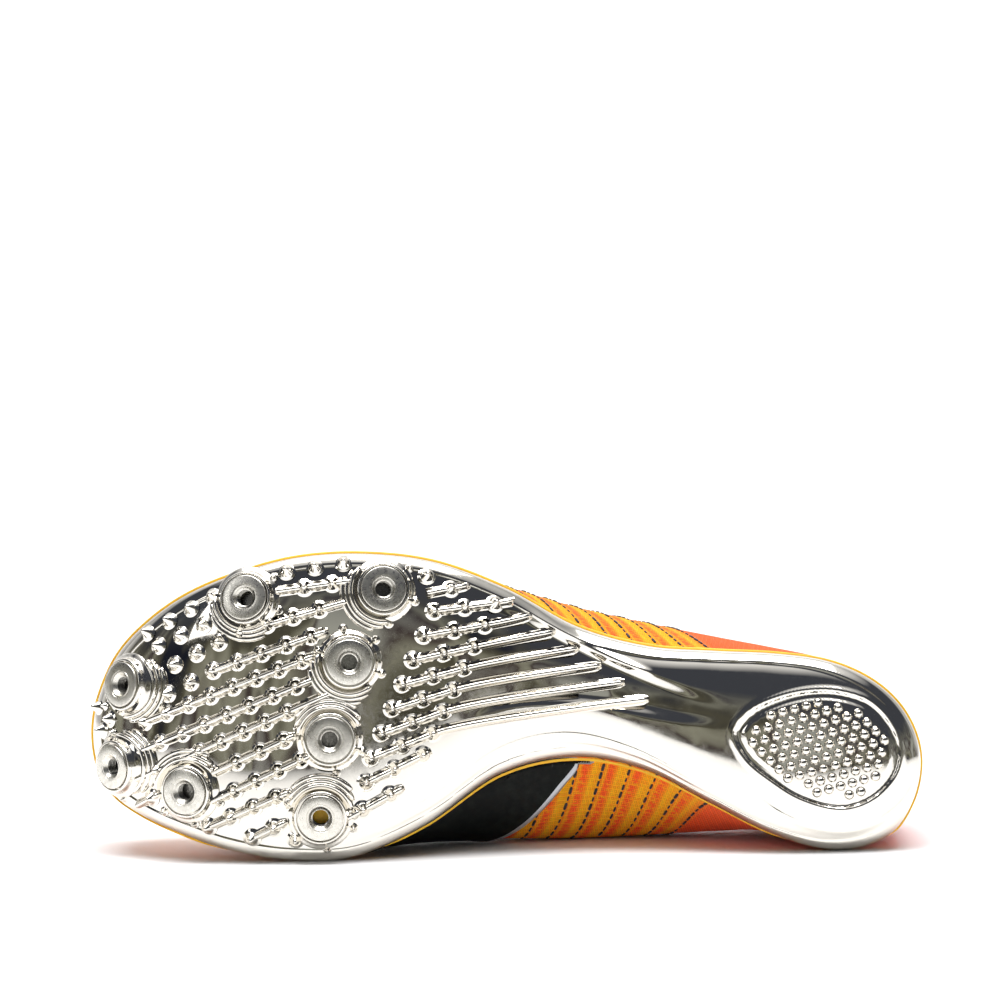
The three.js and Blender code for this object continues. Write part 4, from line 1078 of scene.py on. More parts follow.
def plate_skin(props):
    """The plate itself: its worked face, its rim and its inner face, open under the seats."""
    turns = np.arange(props.turn_steps) * 360.0 / props.turn_steps
    shares = [np.linspace(0, 0.86, props.share_steps), np.linspace(0.87, 0.985, 12), [0.993, 0.998, 1.0]]
    turn, share = np.meshgrid(turns, np.concatenate(shares))
    outer = cup_point(turn, share, 0.0, 0.0)
    core, edge = core_at(turn), edge_at(turn)
    outer[..., 2] += relief(outer[..., 0], outer[..., 1], (1 - share) * np.linalg.norm(edge - core, axis=-1))
    lip_turn, lip_inset = np.meshgrid(turns, [0.15, 0.6, 1.2, 1.8])
    whole = np.ones_like(lip_turn)
    rim = cup_point(lip_turn, whole, lip_inset, 0.0)
    rim[..., 2] = cup_point(lip_turn, whole, 0.0, 0.0)[..., 2] + 0.06 * np.minimum(lip_inset, 0.6)
    inner = cup_point(*np.meshgrid(turns, np.linspace(1, 0, 14)), PLATE_WALL, PLATE_WALL)
    rows = np.concatenate([outer, rim, inner])
    faces = grid_faces(len(rows), len(turns), True)
    centre = rows.reshape(-1, 3)[faces].mean(1)
    keep = np.ones(len(faces), bool)
    for x, y in SEATS:
        keep &= np.hypot(centre[:, 0] - x, centre[:, 1] - y) > SKIN_HOLE
    uv = stack(rows[..., 0], rows[..., 1]).reshape(-1, 2)
    skin = mesh_object("plate_skin", rows.reshape(-1, 3), faces[keep], MATERIALS["plating"], uv)
    dress(tidy_mesh(skin, weld=0.02), "spike_plate")


def plate_studs(props, studs):
    """Cone studs of the rows and the loose ones, and the small studs round each seat."""
    studs = studs[np.linalg.norm(studs[:, None] - SEATS[None], axis=-1).min(1) > SEAT_CLEARANCE]
    angles = np.radians(np.arange(6) * 60.0 + 18.0)
    ring = (SEATS[:, None] + RING_RADIUS * stack(np.cos(angles), np.sin(angles))[None]).reshape(-1, 2)
    ring = ring[sole_place(*ring.T)[1] < 0.95]
    form = turned_form("stud_form", stud_profile(props.stud_height), 22, MATERIALS["plating"])
    origin, ahead, _, up = frame_parts(*np.concatenate([studs, ring]).T)
    sizes = np.concatenate([np.ones(len(studs)), np.full(len(ring), RING_STUD_SIZE)])
    cones = repeated("plate_studs", form, origin, up, ahead, sizes, MATERIALS["plating"], 1.0, 0.02)
    dress(cones, "spike_plate")


def plate_ribs(lines):
    """The ribs that carry the studs, and the fan into the waist, each tapered at its free end."""
    paths = []
    for line in lines:
        fine = resample(line, RIB_STEP)
        origin, _, _, up = frame_parts(*fine.T)
        side = unit(np.cross(up, unit(np.gradient(origin, axis=0))))
        taper = np.sqrt(np.clip((np.arange(len(fine)) * RIB_STEP + 0.15) / 2.0, 0.02, 1))
        paths.append((origin, side, up, RIB_SECTION[None] * stack(0.4 + 0.6 * taper, taper)[:, None]))
    dress(swept_object("plate_ribs", paths, MATERIALS["plating"], sharp=80), "spike_plate")


def plate_arcs():
    """The low stepped walls on one side of each seat."""
    walls = []
    for (x, y), facing in zip(SEATS, ARC_FACING):
        for radius, height, sweep in ARCS:
            angle = np.radians(np.linspace(-sweep, sweep, 30) + facing)
            line = stack(x + radius * np.cos(angle), y + radius * np.sin(angle))
            line = line[sole_place(*line.T)[1] < 0.93]
            if len(line) < 6:
                continue
            origin, _, _, up = frame_parts(*line.T)
            side = unit(np.cross(up, unit(np.gradient(origin, axis=0))))
            ends = np.minimum(np.arange(len(line)), np.arange(len(line))[::-1])
            taper = np.sqrt(np.clip((ends + 0.3) / 3.0, 0, 1))
            section = np.array([(-0.95, -0.35), (-0.6, height * 0.85), (-0.25, height), (0.25, height),
                                (0.6, height * 0.85), (0.95, -0.35)])
            walls.append((origin, side, up, section[None] * stack(0.5 + 0.5 * taper, taper)[:, None]))
    dress(swept_object("plate_arcs", walls, MATERIALS["plating"], sharp=80), "spike_plate")


def heel_beads():
    """Beads in slanted rows that fill the heel pad."""
    centre = np.array([LENGTH * 0.127, BALL_WIDTH * 0.0])
    along, across = BEAD_STEPS
    grid = np.array([centre + i * along + j * across for i in range(-12, 13) for j in range(-12, 13)])
    grid = grid[pad_distance(grid) > PAD_BAND + BEAD_MARGIN]
    origin, ahead, _, up = frame_parts(*grid.T, lift=-PAD_FLOOR_DEPTH)
    bead = turned_form("bead_form", BEAD_PROFILE, 18, MATERIALS["plating"])
    sizes = np.ones(len(grid))
    beads = repeated("heel_beads", bead, origin, up, ahead, sizes, MATERIALS["plating"], 1.0, 0.04)
    dress(beads, "spike_plate")


def stud_profile(height):
    """A cone with a rounded tip and a flared foot."""
    return [(0, height), (0.3, height - 0.05), (0.55, height - 0.28), (1.2, height * 0.56),
            (1.95, height * 0.16), (2.2, 0.12), (2.5, -0.02), (3.0, -0.35)]


def paint_bore_shade(seat, frame, below):
    """Gives the threaded bore, up to a height over the seat's foot, a darker colour that is painted shade."""
    origin, _, _, up = frame
    # The second material slot holds the bore's painted shade
    seat.data.materials.append(MATERIALS["bore"])
    to_shoe = LAID.inverted()
    for polygon in seat.data.polygons:
        arm = np.array(to_shoe @ (polygon.center / MM)) - origin
        height = arm @ up
        if height < below and np.linalg.norm(arm - height * up) < BORE_REACH:
            polygon.material_index = 1


def build_sockets(props):
    face = BOSS_HEIGHT + SOCKET_PROUD
    thread = []
    for i in range(7):
        h = face - 0.95 - i * 0.62
        thread += [(3.1, h), (2.62, h - 0.31)]
    profile = [(7.2, face - 1.3), (7.3, face - 0.35), (7.15, face - 0.08), (6.95, face), (4.55, face),
               (4.45, face - 0.12), (4.3, face - 0.12), (4.2, face), (3.85, face - 0.02), (3.35, face - 0.5),
               *thread]
    open_foot, shut_foot = [(3.1, -1.4), (4.7, -1.4), (4.7, face - 1.3)], [(3.1, -1.5), (0, -1.5)]
    for i, (x, y) in enumerate(SEATS):
        if i + 1 == OPEN_SEAT:
            turned = profile + open_foot
        else:
            turned = [(0, -1.9), (4.7, -1.9), (4.7, face - 1.3)] + profile + shut_foot
        frames = face_frames(x, y)
        seat = lathe_object(f"seat_{i + 1}", turned, frames, MATERIALS["seat"], sides=48, sharp=40)
        paint_bore_shade(seat, frames[0], face - 1.2)
        dress(seat, f"spike_socket_{i + 1}")


# The foam's edge, from under the rim to the upper: how far in and how high
FOAM_EDGE = ((2.5, 0.15), (0.6, 0.1), (0.15, 0.2), (0.0, 0.45), (-0.05, MIDSOLE_EDGE * 0.6),
             (0.0, MIDSOLE_EDGE), (0.25, MIDSOLE_EDGE + 0.2), (0.9, MIDSOLE_EDGE + 0.25))


def build_midsole(props):
    turns = np.arange(props.turn_steps) * 360.0 / props.turn_steps
    inset = PLATE_WALL + SEAT_GAP

    def ring(share, function, *sizes):
        return function(turns, np.full_like(turns, share), *sizes)

    rim = cup_point(turns, np.ones_like(turns), 0.0, 0.0)
    clear = smooth((to_world(rim)[:, 2] / MM - 2.0) / 5.0)
    rows = [ring(s, cup_point, inset, inset) for s in np.linspace(0, 0.99, 12)]
    for depth, rise in FOAM_EDGE:
        row = edge_at(turns, depth + 0.16 * (1 - clear) - EDGE_BULGE * clear * smooth((2.0 - depth) / 1.8))
        row[:, 2] = rim[:, 2] + SEAT_GAP * 0.4 + rise
        rows.append(row)
    rows += [ring(s, bed_point, 0.0, 0.0) for s in np.linspace(0.93, 0, 8)]
    rows = np.stack(rows)
    uv = stack(rows[..., 0], rows[..., 1]).reshape(-1, 2)
    faces = grid_faces(len(rows), len(turns), True)
    obj = mesh_object("midsole_foam", rows.reshape(-1, 3), faces, MATERIALS["foam"], uv)
    dress(tidy_mesh(obj, weld=0.02, sharp=60), "midsole")


def build_insole(props):
    turns = np.arange(180) * 2.0
    inset = FEATHER_INSET + UPPER_WALL + INSOLE_CLEARANCE - 0.6
    turn, share = np.meshgrid(turns, np.concatenate([np.linspace(0, 0.9, 14), [0.96, 1.0]]))
    low = bed_point(turn, share, inset, INSOLE_LIFT)
    high = bed_point(turn, share, inset, INSOLE_LIFT + INSOLE_THICKNESS)
    rows = np.concatenate([low, high[::-1]])
    uv = stack(rows[..., 0], rows[..., 1]).reshape(-1, 2)
    faces = grid_faces(len(rows), len(turns), True)
    obj = mesh_object("insole_bed", rows.reshape(-1, 3), faces, MATERIALS["bed"], uv)
    dress(tidy_mesh(obj, weld=0.02, sharp=50), "insole")


def throat_half(x):
    """Half width of the throat at a place along the shoe, round at its toe end."""
    toe_half = THROAT_HALF_WIDTH * 0.75
    bend = THROAT_TOE - toe_half
    straight = mix(THROAT_HALF_WIDTH, toe_half, np.clip((x - THROAT_HEEL) / (bend - THROAT_HEEL), 0, 1))
    past = np.clip((x - bend) / toe_half, 0, 1)
    return np.where(x > bend, toe_half * np.sqrt(np.maximum(1 - past ** 2, 0)), straight)


def top_climb(turns):
    """Climb at which the upper ends in the collar or the throat, for each turn."""
    climbs = np.linspace(0, 1, 1200)[:, None]
    points = last_point(turns[None], climbs)
    x, y, z = points[..., 0], points[..., 1], points[..., 2]
    ridge_share = np.clip((x - RIDGE_FROM_HEEL) / (LENGTH - RIDGE_FROM_TOE - RIDGE_FROM_HEEL), 0, 1)
    off = np.abs(y - BALL_WIDTH * ridge_across_at(ridge_share))
    in_collar = (z > ANKLE_HEIGHT * collar_at(x / LENGTH)) & (x < LENGTH * 0.47)
    in_throat = (off < throat_half(x)) & (x > THROAT_HEEL) & (x < THROAT_TOE) & (climbs > BELLY_CLIMB)
    gone = in_collar | in_throat
    first = np.where(gone.any(0), gone.argmax(0), climbs.shape[0] - 1)
    return climbs[first, 0]


def knit_uv(points, foot_z):
    """Band place and height over the sole for points of the upper."""
    over = points[..., 2] - foot_z
    return stack(points[..., 0] - KNIT_SLANT * over, over)


def weave_layer(mesh, outer):
    """A second UV map for the threads: true lengths round the wall and up it, so that they keep one size."""
    middle = outer[len(outer) // 2]
    steps = np.linalg.norm(np.roll(middle, -1, axis=0) - middle, axis=1)
    round_wall = np.broadcast_to(np.cumsum(steps) - steps, outer.shape[:2])
    up_wall = np.zeros(outer.shape[:2])
    up_wall[1:] = np.cumsum(np.linalg.norm(np.diff(outer, axis=0), axis=-1), axis=0)
    places = np.tile(stack(round_wall, up_wall).reshape(-1, 2), (2, 1))
    index = np.empty(len(mesh.loops), int)
    mesh.loops.foreach_get("vertex_index", index)
    corners = places[index].reshape(-1, 4, 2)
    across_seam = np.ptp(corners[..., 0], axis=1) > steps.sum() / 2
    corners[..., 0] += (across_seam[:, None] & (corners[..., 0] < steps.sum() / 2)) * steps.sum()
    mesh.uv_layers.new(name="weave").data.foreach_set("uv", (corners / UV_UNIT).ravel())


def build_upper(props):
    even = np.arange(720) * 0.5
    tops = top_climb(even)
    blur = np.array([1, 2, 3, 2, 1]) / 9.0
    softened = np.convolve(np.concatenate([tops[-2:], tops, tops[:2]]), blur, "valid")
    tops = np.where(np.abs(tops - 1) < 1e-6, 1, softened)
    levels = np.linspace(0, 1, props.climb_steps)
    turn = np.broadcast_to(even, (len(levels), len(even)))
    climb = levels[:, None] * tops[None]
    outer = skin_point(turn, climb, 0.0)
    rounding = np.where(tops[None] < 0.999, smooth((levels[:, None] - 0.985) / 0.015) * 0.3, 0)
    outer = outer - last_normal(turn, climb) * rounding[..., None]
    inner = skin_point(turn, climb, UPPER_WALL)
    uv = knit_uv(outer, feather_at(turn))
    obj = wall_object("upper_knit", outer, inner, MATERIALS["knit"], uv, wrap=True)
    weave_layer(obj.data, outer)
    tidy_mesh(obj, weld=0.05, sharp=70)
    punch_eyelets(obj)
    dress(obj, "upper")
    build_binding(even, tops)
    build_stitches(tops)


def eyelet_places():
    x = THROAT_TOE - EYELET_FROM_TOE_END - EYELET_PITCH * np.arange(EYELET_PAIRS)
    offset = THROAT_HALF_WIDTH + EYELET_FROM_EDGE
    outer, inner = over_ridge(x, np.full_like(x, offset)), over_ridge(x, np.full_like(x, -offset))
    return outer, inner


def punch_eyelets(obj):
    """Cuts the lace holes through the wall."""
    frames = []
    for turn, climb in eyelet_places():
        for origin, up in zip(last_point(turn, climb), last_normal(turn, climb)):
            ahead = unit(np.array([1.0, 0, 0]) - up * up[0])
            frames.append((origin, ahead, np.cross(up, ahead), up))
    pin = [(0, -4), (EYELET_RADIUS, -4), (EYELET_RADIUS, 4), (0, 4)]
    cutter = lathe_object("eyelet_cutter", pin, frames, MATERIALS["knit"], sides=28)
    modifier = obj.modifiers.new("Eyelets", "BOOLEAN")
    modifier.object, modifier.operation, modifier.solver = cutter, "DIFFERENCE", "EXACT"
    bpy.context.view_layer.update()
    mesh = bpy.data.meshes.new_from_object(obj.evaluated_get(bpy.context.evaluated_depsgraph_get()))
    obj.modifiers.remove(modifier)
    obj.data = mesh
    bpy.data.objects.remove(cutter)


def build_binding(turns, tops):
    """The rolled edge round the collar and the throat."""
    open_ = tops < 0.999
    start = int(np.argmax(~open_ & np.roll(open_, -1)))
    order = (np.arange(len(turns)) + start + 1) % len(turns)
    keep = order[open_[order]]
    centre = skin_point(turns[keep], tops[keep], UPPER_WALL / 2)
    fine = smooth_line(resample(centre, 1.2), 3)
    nearest = np.linalg.norm(fine[:, None] - centre[None, ::3], axis=-1).argmin(1)
    up = last_normal(turns[keep][::3][nearest], tops[keep][::3][nearest])
    heading = unit(np.gradient(fine, axis=0))
    side = unit(np.cross(up, heading))
    angle = np.arange(10) * math.tau / 10
    section = stack(1.0 * np.cos(angle), 1.15 * np.sin(angle))
    path = fine, side, np.cross(heading, side), np.broadcast_to(section, (len(fine), 10, 2))
    tube = swept_object("collar_binding", [path], MATERIALS["binding"], sharp=80)
    dress(tube, "upper")


def build_stitches(tops):
    """Black dashed lines between the bands of the knit, laid over the wall."""
    climbs = np.linspace(0.012, 0.98, 150)
    origins, outs, aheads = [], [], []
    lines = np.arange(MESH_FROM + 1.5, 232, KNIT_PITCH)
    for side in (False, True):
        for q in lines:
            def before(turn):
                turn = np.where(side, 360 - turn, turn)
                point = last_point(turn, climbs)
                return point[..., 0] - KNIT_SLANT * (point[..., 2] - feather_at(turn)) < q
            turn = bisect(before, np.full_like(climbs, 12.0), np.full_like(climbs, 176.0), 26)
            turn = np.where(side, 360 - turn, turn)
            limit = np.interp(np.mod(turn, 360), np.arange(720) * 0.5, tops)
            ok = (climbs < limit - 0.015) & (turn > 13) & (turn < 347) & (np.abs(turn - 180) > 5)
            if ok.sum() < 8:
                continue
            path = skin_point(turn, climbs, -0.12)[ok]
            normal = last_normal(turn, climbs)[ok]
            run = run_of(path)
            at = np.arange(0.8, run[-1], STITCH_PITCH)
            spot = rows_at(at, run, path)
            norm = unit(rows_at(at, run, normal))
            ahead = unit(rows_at(at, run, np.gradient(path, run, axis=0)))
            off_floor = to_world(spot)[:, 2] > STITCH_OFF_FLOOR * MM
            for kept, values in ((origins, spot), (outs, norm), (aheads, ahead)):
                kept.append(values[off_floor])
    places = [np.concatenate(rows) for rows in (origins, outs, aheads)]
    sizes = np.ones(len(places[0]))
    obj = repeated("knit_stitches", dash_form(), *places, sizes, MATERIALS["thread"], 1.15, 0.3)
    dress(obj, "upper")


def dash_form():
    """One stitch: a short rounded thread along X."""
    stations = [(-0.95, 0.05), (-0.85, 0.22), (-0.5, 0.3), (0.5, 0.3), (0.85, 0.22), (0.95, 0.05)]
    angle = np.arange(8) * math.tau / 8
    rows = np.stack([stack(x, r * 1.15 * np.cos(angle), r * 0.8 * np.sin(angle)) for x, r in stations])
    mesh = bpy.data.meshes.new("dash_form")
    ends = [list(range(8)), list(range(40, 48))[::-1]]
    mesh.from_pydata((rows.reshape(-1, 3) * MM).tolist(), [], grid_faces(6, 8, True).tolist() + ends)
    obj = linked("dash_form", mesh)
    return tidy_mesh(obj, weld=0.001)


def build_tongue(props):
    heel, toe = TONGUE_TOP - TONGUE_CROWN, TONGUE_TOE
    crown = heel + TONGUE_CROWN * (1 - np.cos(np.linspace(0, math.pi / 2, 14)))
    xs = np.concatenate([crown, np.linspace(TONGUE_TOP + 2, toe - 1, 60)])
    rounded = TONGUE_HALF_WIDTH * np.sqrt(np.clip(1 - ((TONGUE_TOP - xs) / TONGUE_CROWN) ** 2, 0.02, 1))
    along = np.clip((xs - TONGUE_TOP) / (toe - 15 - TONGUE_TOP), 0, 1)
    half = np.where(xs < TONGUE_TOP, rounded, mix(TONGUE_HALF_WIDTH, TONGUE_HALF_WIDTH * 0.8, along))
    end = np.clip((xs - (toe - 15)) / 15, 0, 1)
    half = half * np.sqrt(np.maximum(1 - end ** 2, 0.01))
    across = np.linspace(-1, 1, 41)
    x, s = np.meshgrid(xs, across, indexing="ij")
    offset = s * half[:, None]
    offset = np.where(np.abs(offset) < 0.05, 0.05, offset)
    turn, climb = over_ridge(x, offset)
    top = UPPER_WALL + SEAT_GAP
    thin = 0.5 + 0.5 * np.sqrt(np.maximum(1 - np.abs(s) ** 6, 0))
    middle = top + TONGUE_THICKNESS / 2
    outer = skin_point(turn, climb, middle - TONGUE_THICKNESS / 2 * thin)
    inner = skin_point(turn, climb, middle + TONGUE_THICKNESS / 2 * thin)
    uv = stack(x, offset)
    obj = wall_object("tongue_cloth", outer, inner, MATERIALS["tongue"], uv)
    dress(tidy_mesh(obj, sharp=60), "tongue")


def side_place(x, z):
    """Turn and climb on the inner wall below the belly line for places seen from the side."""
    def turn_for(climb):
        return 360 - bisect(lambda t: last_point(360 - t, climb)[..., 0] < x,
                            np.full_like(x, 5.0), np.full_like(x, 175.0), 22)
    climb = bisect(lambda c: last_point(turn_for(c), c)[..., 2] < z,
                   np.zeros_like(x), np.full_like(x, 0.8), 20)
    return turn_for(climb), climb


def build_panel(props):
    s, t = np.meshgrid(np.linspace(0, 1, 90), np.linspace(0, 1, 60), indexing="ij")
    size = np.array((LENGTH, ANKLE_HEIGHT))
    heel = np.array(PANEL_HEEL) * size
    run = run_of(heel)
    heel_edge = rows_at(t * run[-1], run, heel)
    toe_low, toe_high = np.array(PANEL_TOE_LOW), np.array(PANEL_TOE_HIGH)
    flat = mix(heel_edge, mix(toe_low, toe_high, t[..., None]) * size, s[..., None])
    foot = feather_at(360 - np.degrees(np.arccos(1 - 2 * np.clip(flat[..., 0] / LENGTH, 0, 1))))
    flat_z = np.maximum(flat[..., 1], foot + 0.5)
    turn, climb = side_place(flat[..., 0], flat_z)
    from_line = segment_distance(flat, heel)
    raised = 0.25 * (smooth(from_line / 0.3) * (1 - smooth((from_line - SILVER_WIDTH + 0.1) / 0.3)))
    border = np.minimum(np.minimum(s, 1 - s) * 60, np.minimum(t, 1 - t) * 30)
    soft = 0.45 * (1 - smooth(border / 0.8))
    outer = skin_point(turn, climb, -PANEL_LIFT - PANEL_THICKNESS * 0.7 + soft - raised)
    inner = skin_point(turn, climb, 0.1)
    uv = stack(from_line, flat[..., 1])
    obj = wall_object("panel_film", outer, inner, MATERIALS["film"], uv)
    dress(tidy_mesh(obj, sharp=70), "side_panel")


LACE_WIDTH = 5.4
LACE_THICKNESS = 1.3
LACE_OFF_WALL = 0.55
LACE_OVER = 1.5
LACE_NARROWS = (0.5, 0.55, 0.72)


def lace_section(count=12):
    angle = (np.arange(count) + 0.5) * math.tau / count
    x, y = np.cos(angle), np.sin(angle)
    across = np.sign(x) * np.abs(x) ** 0.6 * LACE_WIDTH / 2
    return stack(across, np.sign(y) * np.abs(y) ** 0.7 * LACE_THICKNESS / 2)


def build_lace(props):
    """Crossings from eyelet to eyelet, each with its two ends hooked through the wall."""
    eyelets = [[(last_point(t, c), last_normal(t, c), side) for t, c in zip(*places)]
               for places, side in zip(eyelet_places(), (1, -1))]
    outer, inner = eyelets
    runs = [(outer[0], inner[0], 0.0)]
    for i in range(EYELET_PAIRS - 1):
        runs += [(outer[i], inner[i + 1], LACE_OVER), (inner[i], outer[i + 1], 0.0)]
    offset = THROAT_HALF_WIDTH + EYELET_FROM_EDGE
    paths = []
    for (start, start_up, side_of), (stop, stop_up, _), over in runs:
        share = np.linspace(-0.93, 0.93, 34)
        where = -share * side_of * offset
        where = np.where(np.abs(where) < 0.05, 0.05, where)
        turn, climb = over_ridge(mix(start[0], stop[0], (1 + share) / 2), where)
        point, up = last_point(turn, climb), last_normal(turn, climb)
        lift = LACE_THICKNESS / 2 + LACE_OFF_WALL + over * np.exp(-(share / 0.33) ** 2)
        hooks = np.array([-3.0, -1.4, 0.3])[:, None]
        centre = smooth_line(np.concatenate([
            start + start_up * hooks, point + up * lift[:, None], stop + stop_up * hooks[::-1]]), 2)
        ups = np.concatenate([[start_up] * 3, up, [stop_up] * 3])
        heading = unit(np.gradient(centre, axis=0))
        across = unit(np.cross(ups, heading) + 1e-6)
        across[:3], across[-3:] = across[4], across[-5]
        side = unit(across - heading * (across * heading).sum(-1, keepdims=True))
        narrow = np.ones(len(centre))
        narrow[:3], narrow[-3:] = LACE_NARROWS, LACE_NARROWS[::-1]
        section = lace_section()[None] * stack(narrow, 1.0)[:, None]
        paths.append((centre, side, np.cross(heading, side), section))
    dress(swept_object("lace_runs", paths, MATERIALS["lace"], sharp=80), "lace")


# Stage

# The camera in metres, degrees and millimetres, as fitted to the photo
CAMERA_AT = (0.0002, -0.9377, 0.1610)
CAMERA_PITCH, CAMERA_ROLL = 2.95, 1.05
CAMERA_LENS = 101.6


def softbox(name, at, target, size, power):
    data = bpy.data.lights.new(name, "AREA")
    data.shape, data.energy = "RECTANGLE", power
    data.size, data.size_y = size
    light = bpy.data.objects.new(name, data)
    light.location = at
    light.rotation_euler = (Vector(target) - Vector(at)).to_track_quat("-Z", "Y").to_euler()
    bpy.context.scene.collection.objects.link(light)
    return light


# Name, place, aim, size and power of each light
SOFTBOXES = (
    ("top_box", (0.0, 0.0, 1.5), (0, 0, 0), (1.6, 1.2), 7),
    ("paper_box", (0.0, -0.2, 2.6), (0, 1.4, 0.6), (2.4, 1.0), 95),
    ("left_box", (-1.1, -1.0, 0.75), (-0.05, 0, 0.05), (0.35, 0.8), 1.6),
)
FLOOR_FRONT, FLOOR_BACK, STAGE_HALF_WIDTH = -4.0, 1.1, 4.0
SWEEP_RADIUS, SWEEP_TOP = 0.9, 3.0


def sweep_object():
    """The paper: a level floor that curves up into the backdrop."""
    angle = np.radians(np.linspace(0, 90, 24))
    curve = zip(FLOOR_BACK + SWEEP_RADIUS * np.sin(angle), SWEEP_RADIUS * (1 - np.cos(angle)))
    line = [(FLOOR_FRONT, 0.0), *curve, (FLOOR_BACK + SWEEP_RADIUS, SWEEP_TOP)]
    points = [(x, y, z) for y, z in line for x in (-STAGE_HALF_WIDTH, STAGE_HALF_WIDTH)]
    mesh = bpy.data.meshes.new("studio_floor")
    mesh.from_pydata(points, [], [(2 * i, 2 * i + 1, 2 * i + 3, 2 * i + 2) for i in range(len(line) - 1)])
    mesh.polygons.foreach_set("use_smooth", [True] * len(mesh.polygons))
    mesh.materials.append(MATERIALS["floor"])
    return linked("studio_floor", mesh)


# Mirrored room: place on the noise and color, dark and light by turns
ROOM_STOPS = [(0.34, (0.012, 0.014, 0.024)), (0.43, (0.09, 0.085, 0.06)), (0.50, (0.30, 0.30, 0.24)),
              (0.55, (0.05, 0.035, 0.035)), (0.64, (0.38, 0.39, 0.36))]


def make_surround(strength):
    """Light from all round: a bright ceiling, and a dim room in front for the plating to mirror."""
    world = bpy.data.worlds.new("studio")
    world.use_nodes = True
    tree = world.node_tree
    background = tree.nodes["Background"]
    background.inputs["Strength"].default_value = strength
    direction = tree.nodes.new("ShaderNodeTexCoord").outputs["Generated"]
    split = add(tree, "ShaderNodeSeparateXYZ", {"Vector": direction})
    blots = noise(tree, direction, 3.4, Detail=2.5, Roughness=0.5)
    room = color_ramp(tree, blots, ROOM_STOPS)
    high = remap(tree, split.outputs["Z"], 0.74, 0.9)
    behind = remap(tree, split.outputs["Y"], 0.2, 0.5)
    white = calc(tree, "MAXIMUM", high, behind)
    dim = blend(tree, remap(tree, split.outputs["Z"], 0.16, 0.4), room, (0.055, 0.06, 0.075))
    tree.links.new(blend(tree, white, dim, (1, 1, 1)), background.inputs["Color"])
    bpy.context.scene.world = world


def build_stage(props):
    sweep_object()
    make_surround(props.surround)
    for name, at, target, size, power in SOFTBOXES:
        softbox(name, at, target, size, power)
    camera = bpy.data.objects.new("photo_camera", bpy.data.cameras.new("photo_camera"))
    camera.data.lens, camera.data.sensor_width = CAMERA_LENS, 36.0
    camera.data.clip_start, camera.data.clip_end = 0.05, 20
    camera.location = CAMERA_AT
    pitch = Matrix.Rotation(math.radians(90 - CAMERA_PITCH), 3, "X")
    roll = Matrix.Rotation(math.radians(-CAMERA_ROLL), 3, "Z")
    camera.rotation_euler = (pitch @ roll).to_euler()
    bpy.context.scene.collection.objects.link(camera)
    bpy.context.scene.camera = camera
    bpy.context.scene.view_settings.view_transform = "Standard"


# Add-on

class SpikeShoeProperties(bpy.types.PropertyGroup):
    turn_steps: bpy.props.IntProperty(
        name="Steps round the sole", description="Points round the sole's outline",
        default=640, min=90, max=900)
    share_steps: bpy.props.IntProperty(
        name="Steps across the sole", description="Points from the middle line to the rim",
        default=58, min=20, max=90)
    climb_steps: bpy.props.IntProperty(
        name="Steps up the wall", description="Points from the sole to the collar",
        default=64, min=20, max=90)
    stud_height: bpy.props.FloatProperty(
        name="Stud height", description="Height of a stud over the plate, in millimetres",
        default=2.9, min=1.0, max=5.0)
    surround: bpy.props.FloatProperty(
        name="Surround light", description="Strength of the even light round the shoe",
        default=0.9, min=0.0, max=3.0)


class PieceOperator:
    """What the operators share: each calls its own build with the scene's settings."""

    def execute(self, context):
        self.build(context.scene.spike_shoe)
        return {"FINISHED"}


class SPIKESHOE_OT_plate(PieceOperator, bpy.types.Operator):
    """Builds the plated sole with its studs, ribs, bosses and heel pad"""
    bl_idname = "spikeshoe.plate"
    bl_label = "Sole plate"
    build = staticmethod(build_plate)


class SPIKESHOE_OT_seats(PieceOperator, bpy.types.Operator):
    """Builds the threaded seats"""
    bl_idname = "spikeshoe.seats"
    bl_label = "Spike seats"
    build = staticmethod(build_sockets)


class SPIKESHOE_OT_midsole(PieceOperator, bpy.types.Operator):
    """Builds the foam edge"""
    bl_idname = "spikeshoe.midsole"
    bl_label = "Midsole"
    build = staticmethod(build_midsole)


class SPIKESHOE_OT_insole(PieceOperator, bpy.types.Operator):
    """Builds the footbed"""
    bl_idname = "spikeshoe.insole"
    bl_label = "Insole"
    build = staticmethod(build_insole)


class SPIKESHOE_OT_upper(PieceOperator, bpy.types.Operator):
    """Builds the knit wall with its eyelets, binding and stitches"""
    bl_idname = "spikeshoe.upper"
    bl_label = "Upper"
    build = staticmethod(build_upper)


class SPIKESHOE_OT_tongue(PieceOperator, bpy.types.Operator):
    """Builds the tongue"""
    bl_idname = "spikeshoe.tongue"
    bl_label = "Tongue"
    build = staticmethod(build_tongue)


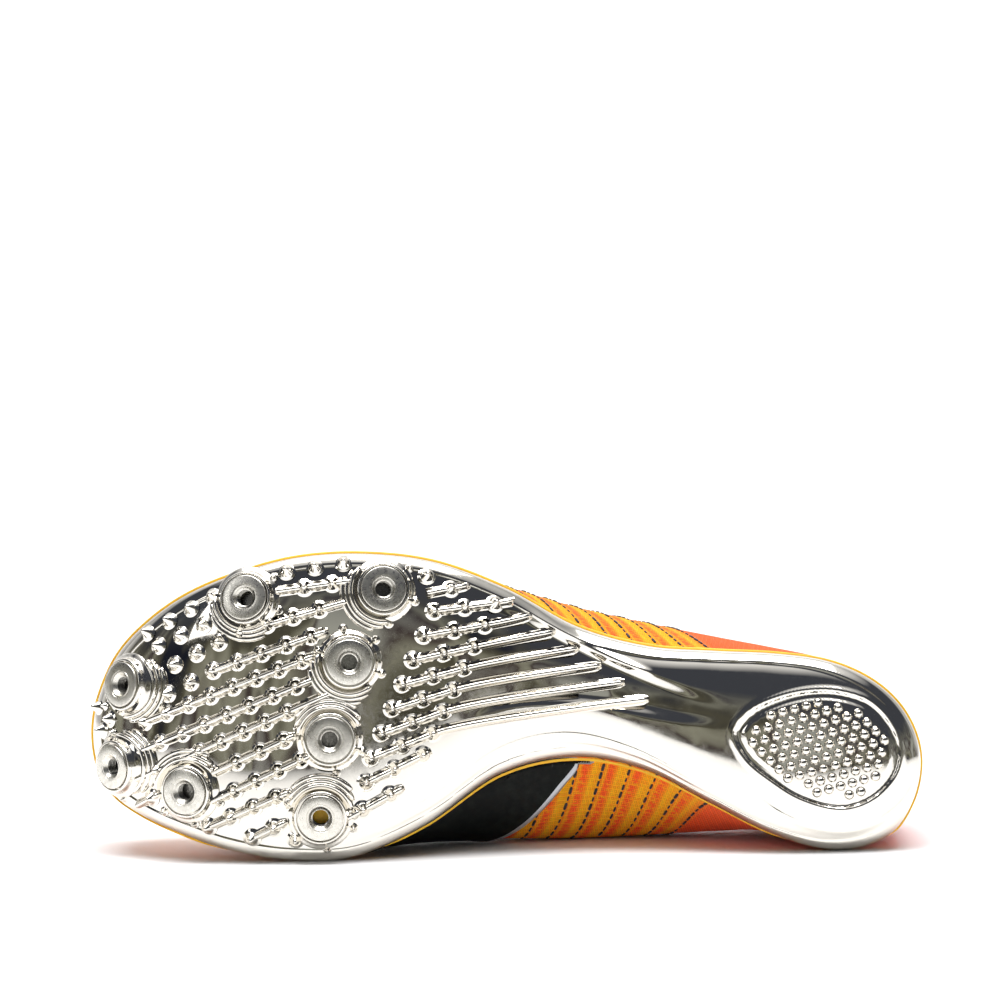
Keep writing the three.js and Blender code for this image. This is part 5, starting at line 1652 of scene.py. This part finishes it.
class SPIKESHOE_OT_panel(PieceOperator, bpy.types.Operator):
    """Builds the plain panel with its silver line"""
    bl_idname = "spikeshoe.panel"
    bl_label = "Side panel"
    build = staticmethod(build_panel)


class SPIKESHOE_OT_lace(PieceOperator, bpy.types.Operator):
    """Builds the lace through the eyelets"""
    bl_idname = "spikeshoe.lace"
    bl_label = "Lace"
    build = staticmethod(build_lace)


class SPIKESHOE_OT_stage(PieceOperator, bpy.types.Operator):
    """Builds the floor, lights and camera"""
    bl_idname = "spikeshoe.stage"
    bl_label = "Stage"
    build = staticmethod(build_stage)


OPERATORS = [
    SPIKESHOE_OT_plate, SPIKESHOE_OT_seats, SPIKESHOE_OT_midsole, SPIKESHOE_OT_insole,
    SPIKESHOE_OT_upper, SPIKESHOE_OT_tongue, SPIKESHOE_OT_panel, SPIKESHOE_OT_lace,
    SPIKESHOE_OT_stage,
]


class SPIKESHOE_PT_panel(bpy.types.Panel):
    bl_label = "Spike shoe"
    bl_space_type = "VIEW_3D"
    bl_region_type = "UI"
    bl_category = "Spike shoe"

    def draw(self, context):
        for name in SpikeShoeProperties.__annotations__:
            self.layout.prop(context.scene.spike_shoe, name)
        for operator in OPERATORS:
            self.layout.operator(operator.bl_idname)


CLASSES = [SpikeShoeProperties, *OPERATORS, SPIKESHOE_PT_panel]


def register():
    for cls in CLASSES:
        bpy.utils.register_class(cls)
    bpy.types.Scene.spike_shoe = bpy.props.PointerProperty(type=SpikeShoeProperties)


def unregister():
    del bpy.types.Scene.spike_shoe
    for cls in reversed(CLASSES):
        bpy.utils.unregister_class(cls)


def main():
    register()
    make_materials()
    bpy.ops.spikeshoe.plate()
    bpy.ops.spikeshoe.seats()
    bpy.ops.spikeshoe.midsole()
    bpy.ops.spikeshoe.insole()
    bpy.ops.spikeshoe.upper()
    bpy.ops.spikeshoe.tongue()
    bpy.ops.spikeshoe.panel()
    bpy.ops.spikeshoe.lace()
    bpy.ops.spikeshoe.stage()


if __name__ == "__main__":
    main()
